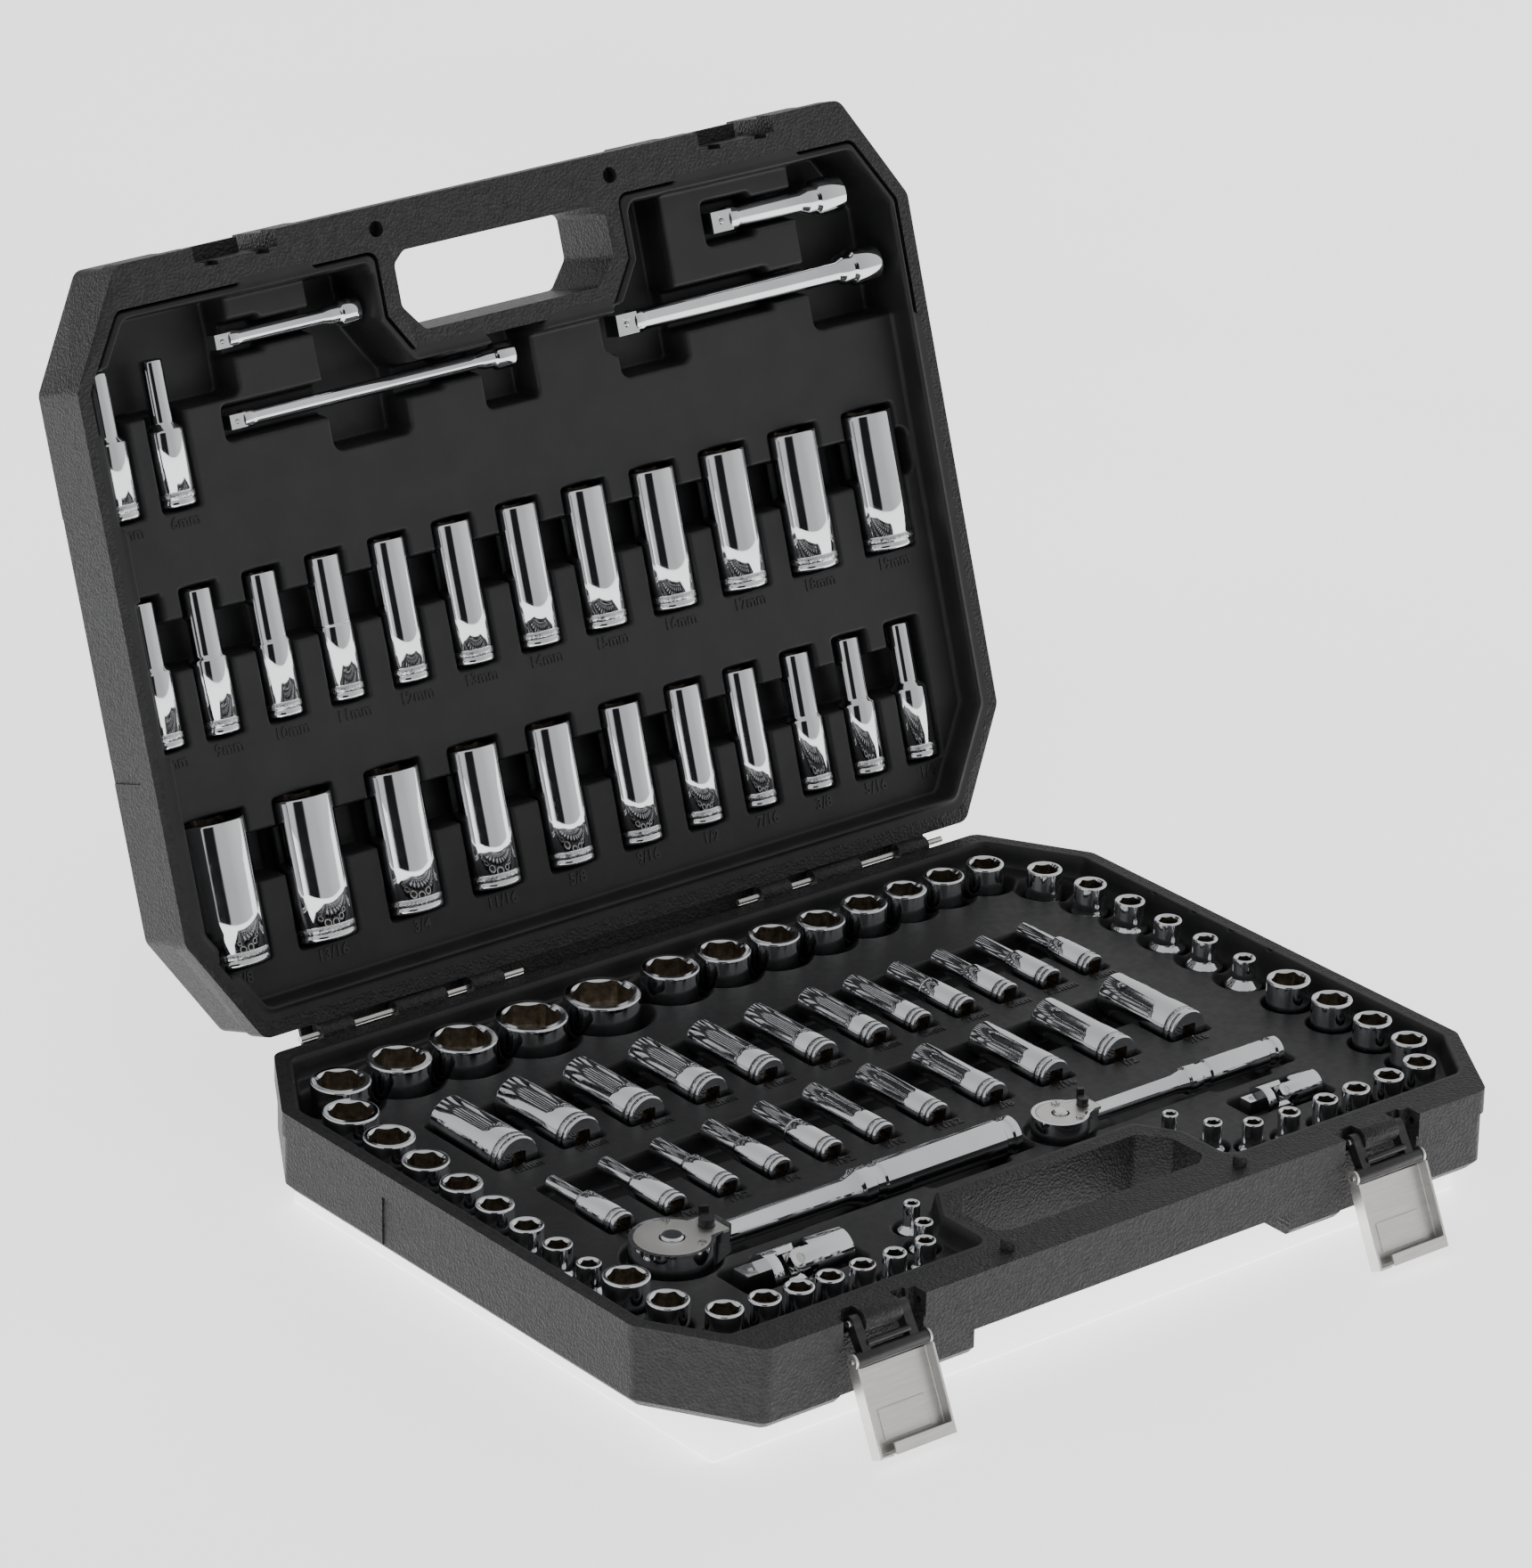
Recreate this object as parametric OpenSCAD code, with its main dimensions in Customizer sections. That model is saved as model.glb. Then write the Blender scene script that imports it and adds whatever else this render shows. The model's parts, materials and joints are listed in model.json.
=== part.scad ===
// Socket wrench set in a double-wall carrying case, drawn open.
// Frame: X along the hinge, Y towards the hinge, Z up, origin at the middle of the underside.

/* [Case] */
// Width of the case along the hinge
case_w = 456; // [420:1:500]
// Depth of the case from front edge to hinge edge
case_d = 339; // [320:1:360]
// Height of the bottom half, underside to rim
base_h = 38; // [37:0.5:44]
// Height of the lid half, rim to outer face
lid_h = 38; // [37:0.5:44]
// Corner cut measured along the hinge
cut_x = 30; // [20:1:40]
// Corner cut measured front to back
cut_y = 49; // [35:1:60]
// Wall thickness of the outer shells
wall = 2.5; // [2:0.1:3]
// Height of the smooth band under the rim
band_h = 11; // [8:0.5:14]
// Opening angle of the lid as drawn
lid_open = 108; // [90:1:112]
// Gap between the two rims when closed
rim_gap = 0.4; // [0.2:0.1:0.8]
// Depth of the bottom tray deck below the rim
base_deck_drop = 10; // [8:0.5:12]
// Depth of the lid tray deck below the rim
lid_deck_drop = 12; // [10:0.5:13]
// Thickness of the tray walls and floors
tray_t = 1.6; // [1.4:0.1:2]
// Clearance round every tool in its pocket
pocket_gap = 0.8; // [0.5:0.1:1.2]

/* [Hinge] */
// Distance of the hinge axis behind the back wall
hinge_off = 4.6; // [4.2:0.1:6]
// Radius of the hinge knuckles
knuckle_r = 4; // [3:0.1:4]
// Radius of the hinge pins
pin_r = 1.5; // [1.2:0.1:2]

/* [Latches] */
// Distance of each latch from the middle of the case
latch_x = 137; // [125:1:145]
// Width of the latch plate
latch_w = 39; // [34:1:44]
// Length of the latch plate from its pivot
latch_len = 41; // [36:1:44]
// Outward lean of the hanging latch plate
latch_lean = 25; // [15:1:30]

/* [Sockets] */
// Square drive of the larger tools
drive_38 = 9.53; // [9.5:0.01:9.6]
// Square drive of the smaller tools
drive_14 = 6.35; // [6.3:0.01:6.4]
// Length of the deep sockets with the larger drive
deep_38_len = 63.5; // [60:0.5:66]
// Length of the deep sockets with the smaller drive
deep_14_len = 50; // [48:0.5:52]
// Height of the short sockets with the smaller drive
short_14_len = 25; // [22:0.5:26]

/* [Tools] */
// Overall length of the larger ratchet behind its head centre
ratchet_38_reach = 184; // [170:1:186]
// Overall length of the smaller ratchet behind its head centre
ratchet_14_reach = 126; // [115:1:128]
// Length of the long extension bars
bar_long = 152; // [148:1:154]
// Length of the short extension bars
bar_short = 76; // [72:1:78]

/* [Hidden] */
$fn = 48;
half_w = case_w / 2;
half_d = case_d / 2;
hinge_y = half_d + hinge_off;
hinge_z = base_h;
base_deck = base_h - base_deck_drop;
lid_deck = lid_h - lid_deck_drop;
shell_inset = wall + 1.5;
land_t = 3;
mouth_x = half_w - 6.5;
mouth_back = half_d - 8.5;
mouth_front = half_d - 19;
inch = 25.4;
case_black = [0.09, 0.09, 0.10];
tray_black = [0.13, 0.13, 0.14];
chrome = [0.80, 0.81, 0.83];
steel = [0.62, 0.62, 0.60];
satin = [0.72, 0.71, 0.68];
lever_black = [0.05, 0.05, 0.05];

// Pivot axes of the latches
link_y = -half_d + 5;
link_z = base_h - 5;
barrel_y = -half_d - 3.4;
barrel_z = base_h - 17;

// Ratchet places: head centre and handle axis
r38_x = -166;
r38_y = -68;
r14_x = 39;
r14_y = -74;
r38_top = base_h - 1;
r14_top = base_h - 2;

// Universal joint places: cross centre
u38_x = -131;
u38_y = -102;
u38_z = base_deck - 1;
u14_x = 137;
u14_y = -105;
u14_z = base_deck;

// Extension bar places: drive end, in the lid lying open side up
bar_38_z = lid_deck - 2;
bar_14_z = lid_deck - 2;

// Short sockets: across-flats size, x, y
short_38_inch = [
  [inch / 4, -208, -67], [inch * 5 / 16, -208, -46], [inch * 3 / 8, -208, -25],
  [inch * 7 / 16, -207, -2], [inch / 2, -206.5, 22], [inch * 9 / 16, -205.8, 48],
  [inch * 5 / 8, -205, 75], [inch * 11 / 16, -204, 104], [inch * 3 / 4, -190, 131],
  [inch * 13 / 16, -157, 134], [inch * 7 / 8, -123, 134], [inch * 15 / 16, -86, 134],
  [inch, -47, 134]];
short_38_metric = [
  [19, -6, 138], [18, 24, 138], [17, 53, 138], [16, 80, 138], [15, 107, 140],
  [14, 132, 141], [13, 156, 142], [12, 180, 141], [11, 198, 120], [10, 204, 95],
  [9, 206, 70], [8, 206, 44], [7, 206, 19], [6, 206, -7]];
short_14_metric = [
  [14, 204, -38], [13, 205, -65], [12, 205, -91], [11, 204, -115], [10, 192, -134],
  [9, 172, -136], [8, 152, -137], [7, 134, -137], [6, 113, -137], [5.5, 94, -135],
  [5, 80, -125], [4, 71, -108]];
short_14_inch = [
  [inch * 9 / 16, -205, -88], [inch / 2, -204, -114], [inch * 7 / 16, -191, -134],
  [inch * 3 / 8, -172, -136], [inch * 11 / 32, -155, -137], [inch * 5 / 16, -139, -137],
  [inch * 9 / 32, -122, -137], [inch / 4, -105, -137], [inch * 7 / 32, -88, -136],
  [inch * 3 / 16, -78, -123], [inch * 5 / 32, -71, -107]];
// Deep sockets lying front to back: across-flats size, x
deep_14_metric = [
  [15, -164], [14, -130], [13, -95], [12, -60], [11, -28], [10, 3],
  [9, 33], [8, 58], [7, 83], [6, 108], [5.5, 133], [5, 158]];
deep_14_inch = [
  [inch * 5 / 32, -166], [inch * 3 / 16, -138], [inch * 7 / 32, -110], [inch / 4, -82],
  [inch * 9 / 32, -54], [inch * 5 / 16, -26], [inch * 11 / 32, 4], [inch * 3 / 8, 36],
  [inch * 7 / 16, 70], [inch / 2, 107], [inch * 9 / 16, 147]];
deep_38_metric = [
  [8, -209], [9, -180], [10, -147], [11, -114], [12, -80], [13, -45],
  [14, -9], [15, 28], [16, 67], [17, 107], [18, 148], [19, 192]];
deep_38_inch = [
  [inch * 7 / 8, -195], [inch * 13 / 16, -148], [inch * 3 / 4, -100], [inch * 11 / 16, -56],
  [inch * 5 / 8, -14], [inch * 9 / 16, 26], [inch / 2, 62], [inch * 7 / 16, 95],
  [inch * 3 / 8, 128], [inch * 5 / 16, 159], [inch / 4, 190]];
deep_38_small = [[7, -209], [6, -180]];
row_a_y = 39;
row_b_y = -36;
row_z = base_deck + 1;
// Heights of the mouths of the short sockets
rim_38 = base_h + 0.2;
rim_14 = base_h + 2;
tray_split_front = -50;
tray_split_low = -127;
tray_split_x = 193;
tray_split_back = 30.5;
lid_row_metric_y = 38;
lid_row_inch_y = 137;
lid_row_small_y = -62;

function od_38(af) = af * 1.25 + 2.8;
function od_14(af) = af * 1.25 + 2.2;
function len_38(af) = af < 13.5 ? 26 : (af < 17.5 ? 28 : (af < 20 ? 30 : 31));
function seat_38(af) = max(od_38(af), 17) / 2;
function seat_14(af) = max(od_14(af), 12) / 2;

// ---------- shared outlines ----------

module case_outline(inset = 0, r = 7) {
  x = half_w;
  y = half_d;
  offset(r = r)
    offset(delta = -inset - r)
      polygon([[-x + cut_x, y], [-x, y - cut_y], [-x, -y + cut_y], [-x + cut_x, -y],
        [x - cut_x, -y], [x, -y + cut_y], [x, y - cut_y], [x - cut_x, y]]);
}

// Opening of the rim land, with the land swinging round the handle window
module mouth_outline(inset = 0) {
  x = mouth_x;
  yb = mouth_back;
  yf = -mouth_front;
  offset(r = 5)
    offset(delta = -inset - 5)
      polygon([[-x + 26, yb], [-x, yb - 42], [-x, yf + 31], [-x + 20, yf],
        [-66, yf], [-66, yf + 29], [-54, yf + 47], [54, yf + 47], [66, yf + 29], [66, yf],
        [x - 20, yf], [x, yf + 31], [x, yb - 42], [x - 26, yb]]);
}

module window_outline(grow = 0) {
  offset(r = 4 + grow)
    offset(delta = -4)
      polygon([[-58, -143], [-52, -148], [52, -148], [58, -143],
        [58, -124], [48, -112], [-48, -112], [-58, -124]]);
}

// ---------- shells ----------

// One half of the case: underside at z = 0, rim at z = h, hinge side at +Y
module half_body(h) {
  hull() {
    linear_extrude(0.1) case_outline(5, 5);
    translate([0, 0, 4]) linear_extrude(h - band_h - 3.9) case_outline(1.2, 6);
  }
  translate([0, 0, h - band_h]) linear_extrude(band_h) case_outline(0);
}

// Recesses on the outside walls, between the bulged corners
module wall_panels(h) {
  for (side = [-1, 1]) {
    translate([side * (half_w + 0.6) - 2.5, -66, -1])
      cube([5, 116, h - band_h + 1]);
  }
  translate([-120, half_d - 2.5, -1])
    cube([240, 5, h - band_h + 1]);
  translate([-88, -half_d - 1, -1])
    cube([176, 23, 13]);
  translate([0, 0, -1])
    linear_extrude(1.8)
      offset(r = 10)
        offset(delta = -10)
          polygon([[-186, 136], [-186, -96], [-150, -138], [-96, -138], [-84, -100],
            [84, -100], [96, -138], [150, -138], [186, -96], [186, 136]]);
}

module window_cut() {
  translate([0, 0, -1]) linear_extrude(60) window_outline();
}

module half_cavity(h) {
  difference() {
    translate([0, 0, wall + 0.5]) linear_extrude(h - wall - 0.5 - land_t)
      difference() {
        case_outline(shell_inset, 4);
        window_outline(wall);
      }
    translate([-91, -half_d - 1, 0]) cube([182, 26, 15]);
  }
  translate([0, 0, h - land_t - 1]) linear_extrude(land_t + 2) mouth_outline();
}

module knuckle(x0, x1, up) {
  translate([x0, hinge_y, hinge_z]) rotate([0, 90, 0]) cylinder(h = x1 - x0, r = knuckle_r);
  translate([x0, half_d - 3, up ? hinge_z + rim_gap : hinge_z - knuckle_r])
    cube([x1 - x0, hinge_off + 3, knuckle_r - (up ? rim_gap : 0)]);
}

// Rib along the lid's back that hangs behind the pins and closes the slot when the lid is open
module hinge_flange() {
  translate([-176, half_d - 1, hinge_z + 6]) cube([352, hinge_off + 5.6, 1.8]);
}

module hinge_bores() {
  for (s = [-1, 1])
    translate([s * 121 - 65, hinge_y, hinge_z]) rotate([0, 90, 0])
      cylinder(h = 130, r = pin_r + 0.1);
}

// Recess in the front wall that the latch folds into, with two deeper slots for its arms
module latch_recess(c, h, slot_h) {
  translate([c - 21.5, -half_d - 3, -1]) cube([43, 10.5, h + 2]);
  for (s = [-1, 1])
    translate([c + s * 13.3 - 3.5, -half_d + 7, h - slot_h]) cube([7, 2.5, slot_h + 1]);
}

// Round-nosed tongue between the arms of the latch link
module latch_tongue(c) {
  translate([c - 9.6, link_y, link_z]) rotate([0, 90, 0]) cylinder(h = 19.2, r = 5);
  translate([c - 9.6, link_y, link_z - 5]) cube([19.2, 5, 10]);
}

module base_shell() {
  color(case_black) difference() {
    union() {
      difference() {
        half_body(base_h);
        half_cavity(base_h);
        wall_panels(base_h);
        window_cut();
        for (c = [-latch_x, latch_x])
          latch_recess(c, base_h, 10);
      }
      for (c = [-latch_x, latch_x])
        difference() {
          translate([c - 24.5, -half_d + 3, 2]) cube([49, 9, base_h - 2]);
          latch_recess(c, base_h, 10);
        }
      for (c = [-latch_x, latch_x])
        latch_tongue(c);
      for (s = [-1, 1]) {
        translate([s * 64, -half_d + 10, base_h - 1]) cylinder(h = 4.4, r = 3);
        translate([s * 64, -half_d + 10, base_h + 3.39]) cylinder(h = 0.8, r1 = 3, r2 = 2.2);
      }
      knuckle(-131, -104, false);
      knuckle(104, 131, false);
    }
    translate([-latch_x - 30, link_y, link_z]) rotate([0, 90, 0])
      cylinder(h = 2 * latch_x + 60, r = pin_r + 0.1);
    hinge_bores();
  }
}

module lid_place() {
  translate([0, hinge_y, hinge_z]) rotate([-lid_open, 0, 0])
    translate([0, -hinge_y, rim_gap + lid_h]) rotate([0, 180, 0])
      children();
}

// Moves something drawn round the closed hinge axis to the open lid
module lid_swing() {
  translate([0, hinge_y, hinge_z]) rotate([-lid_open, 0, 0])
    translate([0, -hinge_y, -hinge_z])
      children();
}

module lid_shell() {
  color(case_black) difference() {
    union() {
      lid_place() difference() {
        union() {
          difference() {
            half_body(lid_h);
            half_cavity(lid_h);
            wall_panels(lid_h);
            window_cut();
            for (c = [-latch_x, latch_x])
              latch_recess(c, lid_h, 8);
          }
          for (c = [-latch_x, latch_x])
            difference() {
              union() {
                translate([c - 24.5, -half_d + 3, 2]) cube([49, 9, lid_h - 2]);
                translate([c - 13, -half_d + 1, lid_h - 21]) cube([26, 8, 3]);
              }
              difference() {
                latch_recess(c, lid_h, 8);
                translate([c - 13, -half_d + 1, lid_h - 21]) cube([26, 8, 3]);
              }
            }
          for (s = [-1, 1])
            translate([s * 64, -half_d + 10, lid_h - 9]) cylinder(h = 9, r = 6);
        }
        for (s = [-1, 1])
          translate([s * 64, -half_d + 10, lid_h - 6]) cylinder(h = 8, r = 3.6);
      }
      lid_swing() {
        hinge_flange();
        knuckle(-171, -154, true);
        knuckle(-90, -73, true);
        knuckle(73, 90, true);
        knuckle(154, 171, true);
      }
    }
    lid_swing() hinge_bores();
  }
}

module hinge_pins() {
  color(steel)
    for (s = [-1, 1])
      translate([s * 121 - 60, hinge_y, hinge_z]) rotate([0, 90, 0]) cylinder(h = 120, r = pin_r);
}

// ---------- pockets ----------

module row_slots(list, y0, len, axis, od_min, small) {
  for (s = list) {
    od = max(small ? od_14(s[0]) : od_38(s[0]), od_min);
    translate([s[1] - od / 2 - pocket_gap, y0 - 1, axis - od / 2 - 0.3])
      cube([od + 2 * pocket_gap, len + 2, 60]);
  }
}

module row_blocks(list, y0, len, axis, od_min, small, deck) {
  for (s = list) {
    od = max(small ? od_14(s[0]) : od_38(s[0]), od_min);
    bottom = axis - od / 2 - 0.3 - tray_t;
    translate([s[1] - od / 2 - pocket_gap - tray_t, y0 - 1 - tray_t, bottom])
      cube([od + 2 * pocket_gap + 2 * tray_t, len + 2 + 2 * tray_t, deck - bottom]);
  }
}

// Plan of one or more pockets, each given by its two corners, with rounded corners
module pocket_plan(list, r) {
  offset(r = r) offset(delta = -r)
    for (p = list)
      translate([p[0], p[1]]) square([p[2] - p[0], p[3] - p[1]]);
}

module pit(p) {
  translate([0, 0, p[4]]) linear_extrude(60) pocket_plan([p], 2);
}

module pit_block(p, deck) {
  translate([p[0] - tray_t, p[1] - tray_t, p[4] - tray_t])
    cube([p[2] - p[0] + 2 * tray_t, p[3] - p[1] + 2 * tray_t, deck - p[4] + tray_t]);
}

// Room inside a shell that the underside of its tray has to stay in
module tray_room(deck) {
  difference() {
    linear_extrude(deck - 1) case_outline(shell_inset + 0.4, 4);
    translate([-91.4, -half_d - 1, -1]) cube([182.8, 26.4, 16.4]);
    translate([0, 0, -1]) linear_extrude(deck + 1) window_outline(wall + 0.3);
  }
}

module socket_wells(grow, drop, top) {
  for (s = concat(short_38_inch, short_38_metric))
    translate([s[1], s[2], rim_38 - len_38(s[0]) - 0.3 - drop])
      cylinder(h = top, r = seat_38(s[0]) + pocket_gap + grow);
  for (s = concat(short_14_inch, short_14_metric))
    translate([s[1], s[2], rim_14 - short_14_len - 0.3 - drop])
      cylinder(h = top, r = seat_14(s[0]) + pocket_gap + grow);
}

// Sloping scallops in the deck round the short sockets along the hinge side
module socket_bites(grow, top) {
  for (s = concat(short_38_inch, short_38_metric))
    if (s[1] > -200) {
      z = base_deck - (s[0] > 14.5 ? 8 : 5);
      r = seat_38(s[0]) + pocket_gap + grow;
      intersection() {
        translate([s[1], s[2], z - grow]) cylinder(h = top - z + grow, r1 = r + 1.4, r2 = r + 5);
        if (grow == 0)
          translate([0, 0, z - 1]) linear_extrude(40) mouth_outline(0.3 + tray_t);
      }
    }
}

// Plan boxes of the tool pockets in the bottom tray: x0, y0, x1, y1, floor
base_pits = [
  [-157, 64, 163, 90, base_deck - 11],
  [-160, -11, 142, 15, base_deck - 11],
  [r38_x, r38_y - 11.8, r38_x + 60, r38_y + 11.8, base_h - 16.4],
  [r38_x + 40, r38_y - 11, r38_x + ratchet_38_reach + 2, r38_y + 11, base_h - 18],
  [-40, r38_y - 15, 4, r38_y + 15, base_h - 21],
  [r14_x, r14_y - 9, r14_x + 40, r14_y + 9, base_h - 14],
  [r14_x + 30, r14_y - 8.6, r14_x + ratchet_14_reach + 2, r14_y + 8.6, base_h - 15.2],
  [118, r14_y - 12, 150, r14_y + 12, base_h - 19],
  [u38_x - 29.5, u38_y - 11.2, u38_x, u38_y + 11.2, u38_z - 10.4],
  [u38_x - 9, u38_y - 14, u38_x + 29.5, u38_y + 14, u38_z - 10.4],
  [u14_x - 22.5, u14_y - 8.5, u14_x, u14_y + 8.5, u14_z - 7.8],
  [u14_x - 7, u14_y - 11, u14_x + 22.5, u14_y + 11, u14_z - 7.8]];

module base_tray_whole() {
  difference() {
    union() {
      translate([0, 0, base_deck - 2])
        linear_extrude(base_h - base_deck + 2) mouth_outline(0.3);
      intersection() {
        union() {
          socket_wells(tray_t, tray_t, base_deck);
          socket_bites(tray_t, base_deck);
          row_blocks(deep_14_metric, row_a_y, deep_14_len, row_z, 12, true, base_deck - 1);
          row_blocks(deep_14_inch, row_b_y, deep_14_len, row_z, 12, true, base_deck - 1);
          for (p = base_pits)
            pit_block(p, base_deck - 1);
          translate([r38_x, r38_y, base_h - 30]) cylinder(h = 20, r = 12);
          translate([r38_x, r38_y, base_h - 18.2]) cylinder(h = 9, r = 22.2);
          translate([r14_x, r14_y, base_h - 25]) cylinder(h = 15, r = 9.4);
          translate([r14_x, r14_y, base_h - 16]) cylinder(h = 7, r = 16.6);
        }
        tray_room(base_deck);
      }
    }
    translate([0, 0, base_deck])
      linear_extrude(base_h) mouth_outline(0.3 + tray_t);
    socket_wells(0, 0, 80);
    socket_bites(0, base_deck + 0.5);
    row_slots(deep_14_metric, row_a_y, deep_14_len, row_z, 12, true);
    row_slots(deep_14_inch, row_b_y, deep_14_len, row_z, 12, true);
    for (p = base_pits)
      pit(p);
    translate([r38_x, r38_y, base_h - 28.4]) cylinder(h = 60, r = 10.4);
    translate([r38_x, r38_y, base_h - 16.4]) cylinder(h = 60, r = 20.6);
    translate([r14_x, r14_y, base_h - 23.4]) cylinder(h = 60, r = 7.8);
    translate([r14_x, r14_y, base_h - 14.2]) cylinder(h = 60, r = 15);
  }
}

// The bottom tray is drawn in parts that meet face to face
module tray_box(x0, y0, x1, y1) {
  translate([x0, y0, -1]) cube([x1 - x0, y1 - y0, 60]);
}

module tray_part(x0, y0, x1, y1) {
  color(tray_black) intersection() {
    base_tray_whole();
    tray_box(x0, y0, x1, y1);
  }
}

module base_tray_tools_left() tray_part(-tray_split_x, tray_split_low, 0, tray_split_front);
module base_tray_tools_right() tray_part(0, tray_split_low, tray_split_x, tray_split_front);
module base_tray_middle_left() tray_part(-half_w, tray_split_front, 0, tray_split_back);
module base_tray_middle_right() tray_part(0, tray_split_front, half_w, tray_split_back);
module base_tray_back_left() tray_part(-half_w, tray_split_back, 0, half_d);
module base_tray_back_right() tray_part(0, tray_split_back, half_w, half_d);

module base_tray_corner_left() {
  difference() {
    tray_part(-half_w, -half_d, 0, tray_split_front);
    tray_box(-tray_split_x, tray_split_low, 1, tray_split_front + 1);
  }
}

module base_tray_corner_right() {
  difference() {
    tray_part(0, -half_d, half_w, tray_split_front);
    tray_box(-1, tray_split_low, tray_split_x, tray_split_front + 1);
  }
}

// Plan boxes of the deep finger recesses in the lid, x counted as seen with the lid open
lid_deep = [
  [-218, -14, 212, 6], [-212, 84, 199, 104], [-226, -154, -141, -103], [-97, -154, -57, -69],
  [56, -154, 96, -80], [61, -92, 98, -69], [172, -154, 226, -68.5]];
// Bar pockets in the lid: x0, y0, x1, y1, floor
lid_slots = [
  [-14, -104, 13, -70.5, lid_deck - 15],
  [-151, -134, -124, -119, bar_14_z - 7], [-126, -131.7, -94, -121.3, bar_14_z - 7],
  [-151, -98.8, -94, -84.2, bar_14_z - 7], [-60, -98.8, -36, -84.2, bar_14_z - 7],
  [-38, -96.7, 6, -86.3, bar_14_z - 7],
  [120, -136.5, 147, -117.5, bar_38_z - 9.6], [145, -133.5, 180, -120.5, bar_38_z - 9.6],
  [54, -101.5, 150, -82.5, bar_38_z - 9.6], [148, -98.5, 180, -85.5, bar_38_z - 9.6]];

module lid_tray_flat() {
  floor_deep = lid_deck - 17;
  difference() {
    union() {
      translate([0, 0, lid_deck - 2])
        linear_extrude(lid_h - lid_deck + 2) mouth_outline(0.3);
      translate([0, 0, lid_h - 1])
        linear_extrude(2.2) mouth_outline(2.8);
      intersection() {
        mirror([1, 0, 0]) {
          row_blocks(deep_38_metric, lid_row_metric_y - deep_38_len,
            deep_38_len, lid_deck - 4, 17, false, lid_deck - 1);
          row_blocks(deep_38_inch, lid_row_inch_y - deep_38_len,
            deep_38_len, lid_deck - 4, 17, false, lid_deck - 1);
          row_blocks(deep_38_small, lid_row_small_y - deep_38_len,
            deep_38_len, lid_deck - 4, 17, false, lid_deck - 1);
          translate([0, 0, floor_deep - tray_t]) linear_extrude(lid_deck)
            offset(delta = tray_t) pocket_plan(lid_deep, 4);
          for (p = lid_slots)
            pit_block(p, lid_deck - 1);
        }
        tray_room(lid_deck);
      }
    }
    translate([0, 0, lid_deck])
      linear_extrude(lid_h) mouth_outline(5);
    mirror([1, 0, 0]) {
      row_slots(deep_38_metric, lid_row_metric_y - deep_38_len, deep_38_len, lid_deck - 4, 17, false);
      row_slots(deep_38_inch, lid_row_inch_y - deep_38_len, deep_38_len, lid_deck - 4, 17, false);
      row_slots(deep_38_small, lid_row_small_y - deep_38_len, deep_38_len, lid_deck - 4, 17, false);
      translate([0, 0, floor_deep]) linear_extrude(60) intersection() {
        pocket_plan(lid_deep, 4);
        mirror([1, 0, 0]) mouth_outline(5.4);
      }
      for (p = lid_slots)
        pit(p);
    }
  }
}

module lid_tray() {
  color(tray_black) lid_place() lid_tray_flat();
}

// ---------- latches ----------

module latch_base_pins() {
  color(steel)
    for (c = [-latch_x, latch_x])
      translate([c - 15.6, link_y, link_z]) rotate([0, 90, 0]) cylinder(h = 31.2, r = pin_r);
}

module link_arm(x0, w) {
  difference() {
    translate([x0, 0, 0]) rotate([90, 0, 90]) linear_extrude(w) {
      hull() {
        translate([link_y, link_z]) circle(3.3);
        translate([link_y - 1.6, link_z - 2]) circle(2.6);
      }
      hull() {
        translate([link_y - 1.6, link_z - 2]) circle(2.6);
        translate([barrel_y, barrel_z]) circle(2.4);
      }
    }
    translate([x0 - 1, link_y, link_z]) rotate([0, 90, 0]) cylinder(h = w + 2, r = pin_r + 0.1);
    translate([x0 - 1, barrel_y, barrel_z]) rotate([0, 90, 0]) cylinder(h = w + 2, r = 1.25);
  }
}

module latch_link(c) {
  color(lever_black) {
    link_arm(c - 14.6, 4.4);
    link_arm(c + 10.2, 4.4);
    difference() {
      translate([c - latch_w / 2 + 1, barrel_y, barrel_z]) rotate([0, 90, 0])
        cylinder(h = latch_w - 2, r = 3.2);
      translate([c - 30, barrel_y, barrel_z]) rotate([0, 90, 0]) cylinder(h = 60, r = 1.25);
    }
    translate([c - 11, barrel_y + 1.2, barrel_z + 5.4]) rotate([0, 90, 0]) cylinder(h = 22, r = 1.4);
  }
}

module latch_pin(c) {
  color(steel)
    translate([c - latch_w / 2 - 0.9, barrel_y, barrel_z]) rotate([0, 90, 0])
      cylinder(h = latch_w + 1.8, r = 1.15);
}

// Pressed tray hanging from the barrel, open side outwards, hook at its free end
module latch_plate(c) {
  w = latch_w;
  color(satin)
    translate([c, barrel_y, barrel_z]) rotate([-latch_lean, 0, 0]) difference() {
      union() {
        translate([-w / 2 - 0.2, 2.2, -latch_len]) cube([w + 0.4, 1.1, latch_len - 4]);
        for (s = [-1, 1]) {
          translate([s * (w / 2 - 0.2) - 0.55, -3.2, -latch_len]) cube([1.1, 6.5, latch_len - 3]);
          translate([s * (w / 2 - 0.2) - 0.55, -2.4, -4]) cube([1.1, 4.8, 4]);
          translate([s * (w / 2 - 0.2) - 0.55, 0, 0]) rotate([0, 90, 0]) cylinder(h = 1.1, r = 3.6);
        }
        translate([-w / 2 - 0.2, -3.2, -latch_len]) cube([w + 0.4, 6.5, 1.1]);
        translate([-w / 2 + 8, -3.2, -latch_len]) cube([w - 8 + 0.2, 1.1, 5]);
        translate([-12, 1.7, -latch_len + 6]) cube([24, 0.7, 13]);
      }
      translate([-30, 0, 0]) rotate([0, 90, 0]) cylinder(h = 60, r = 1.25);
      translate([-w / 2 + 6.6, -4, -latch_len - 1]) cube([1.4, 5, 4]);
    }
}

// ---------- sockets ----------

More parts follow.
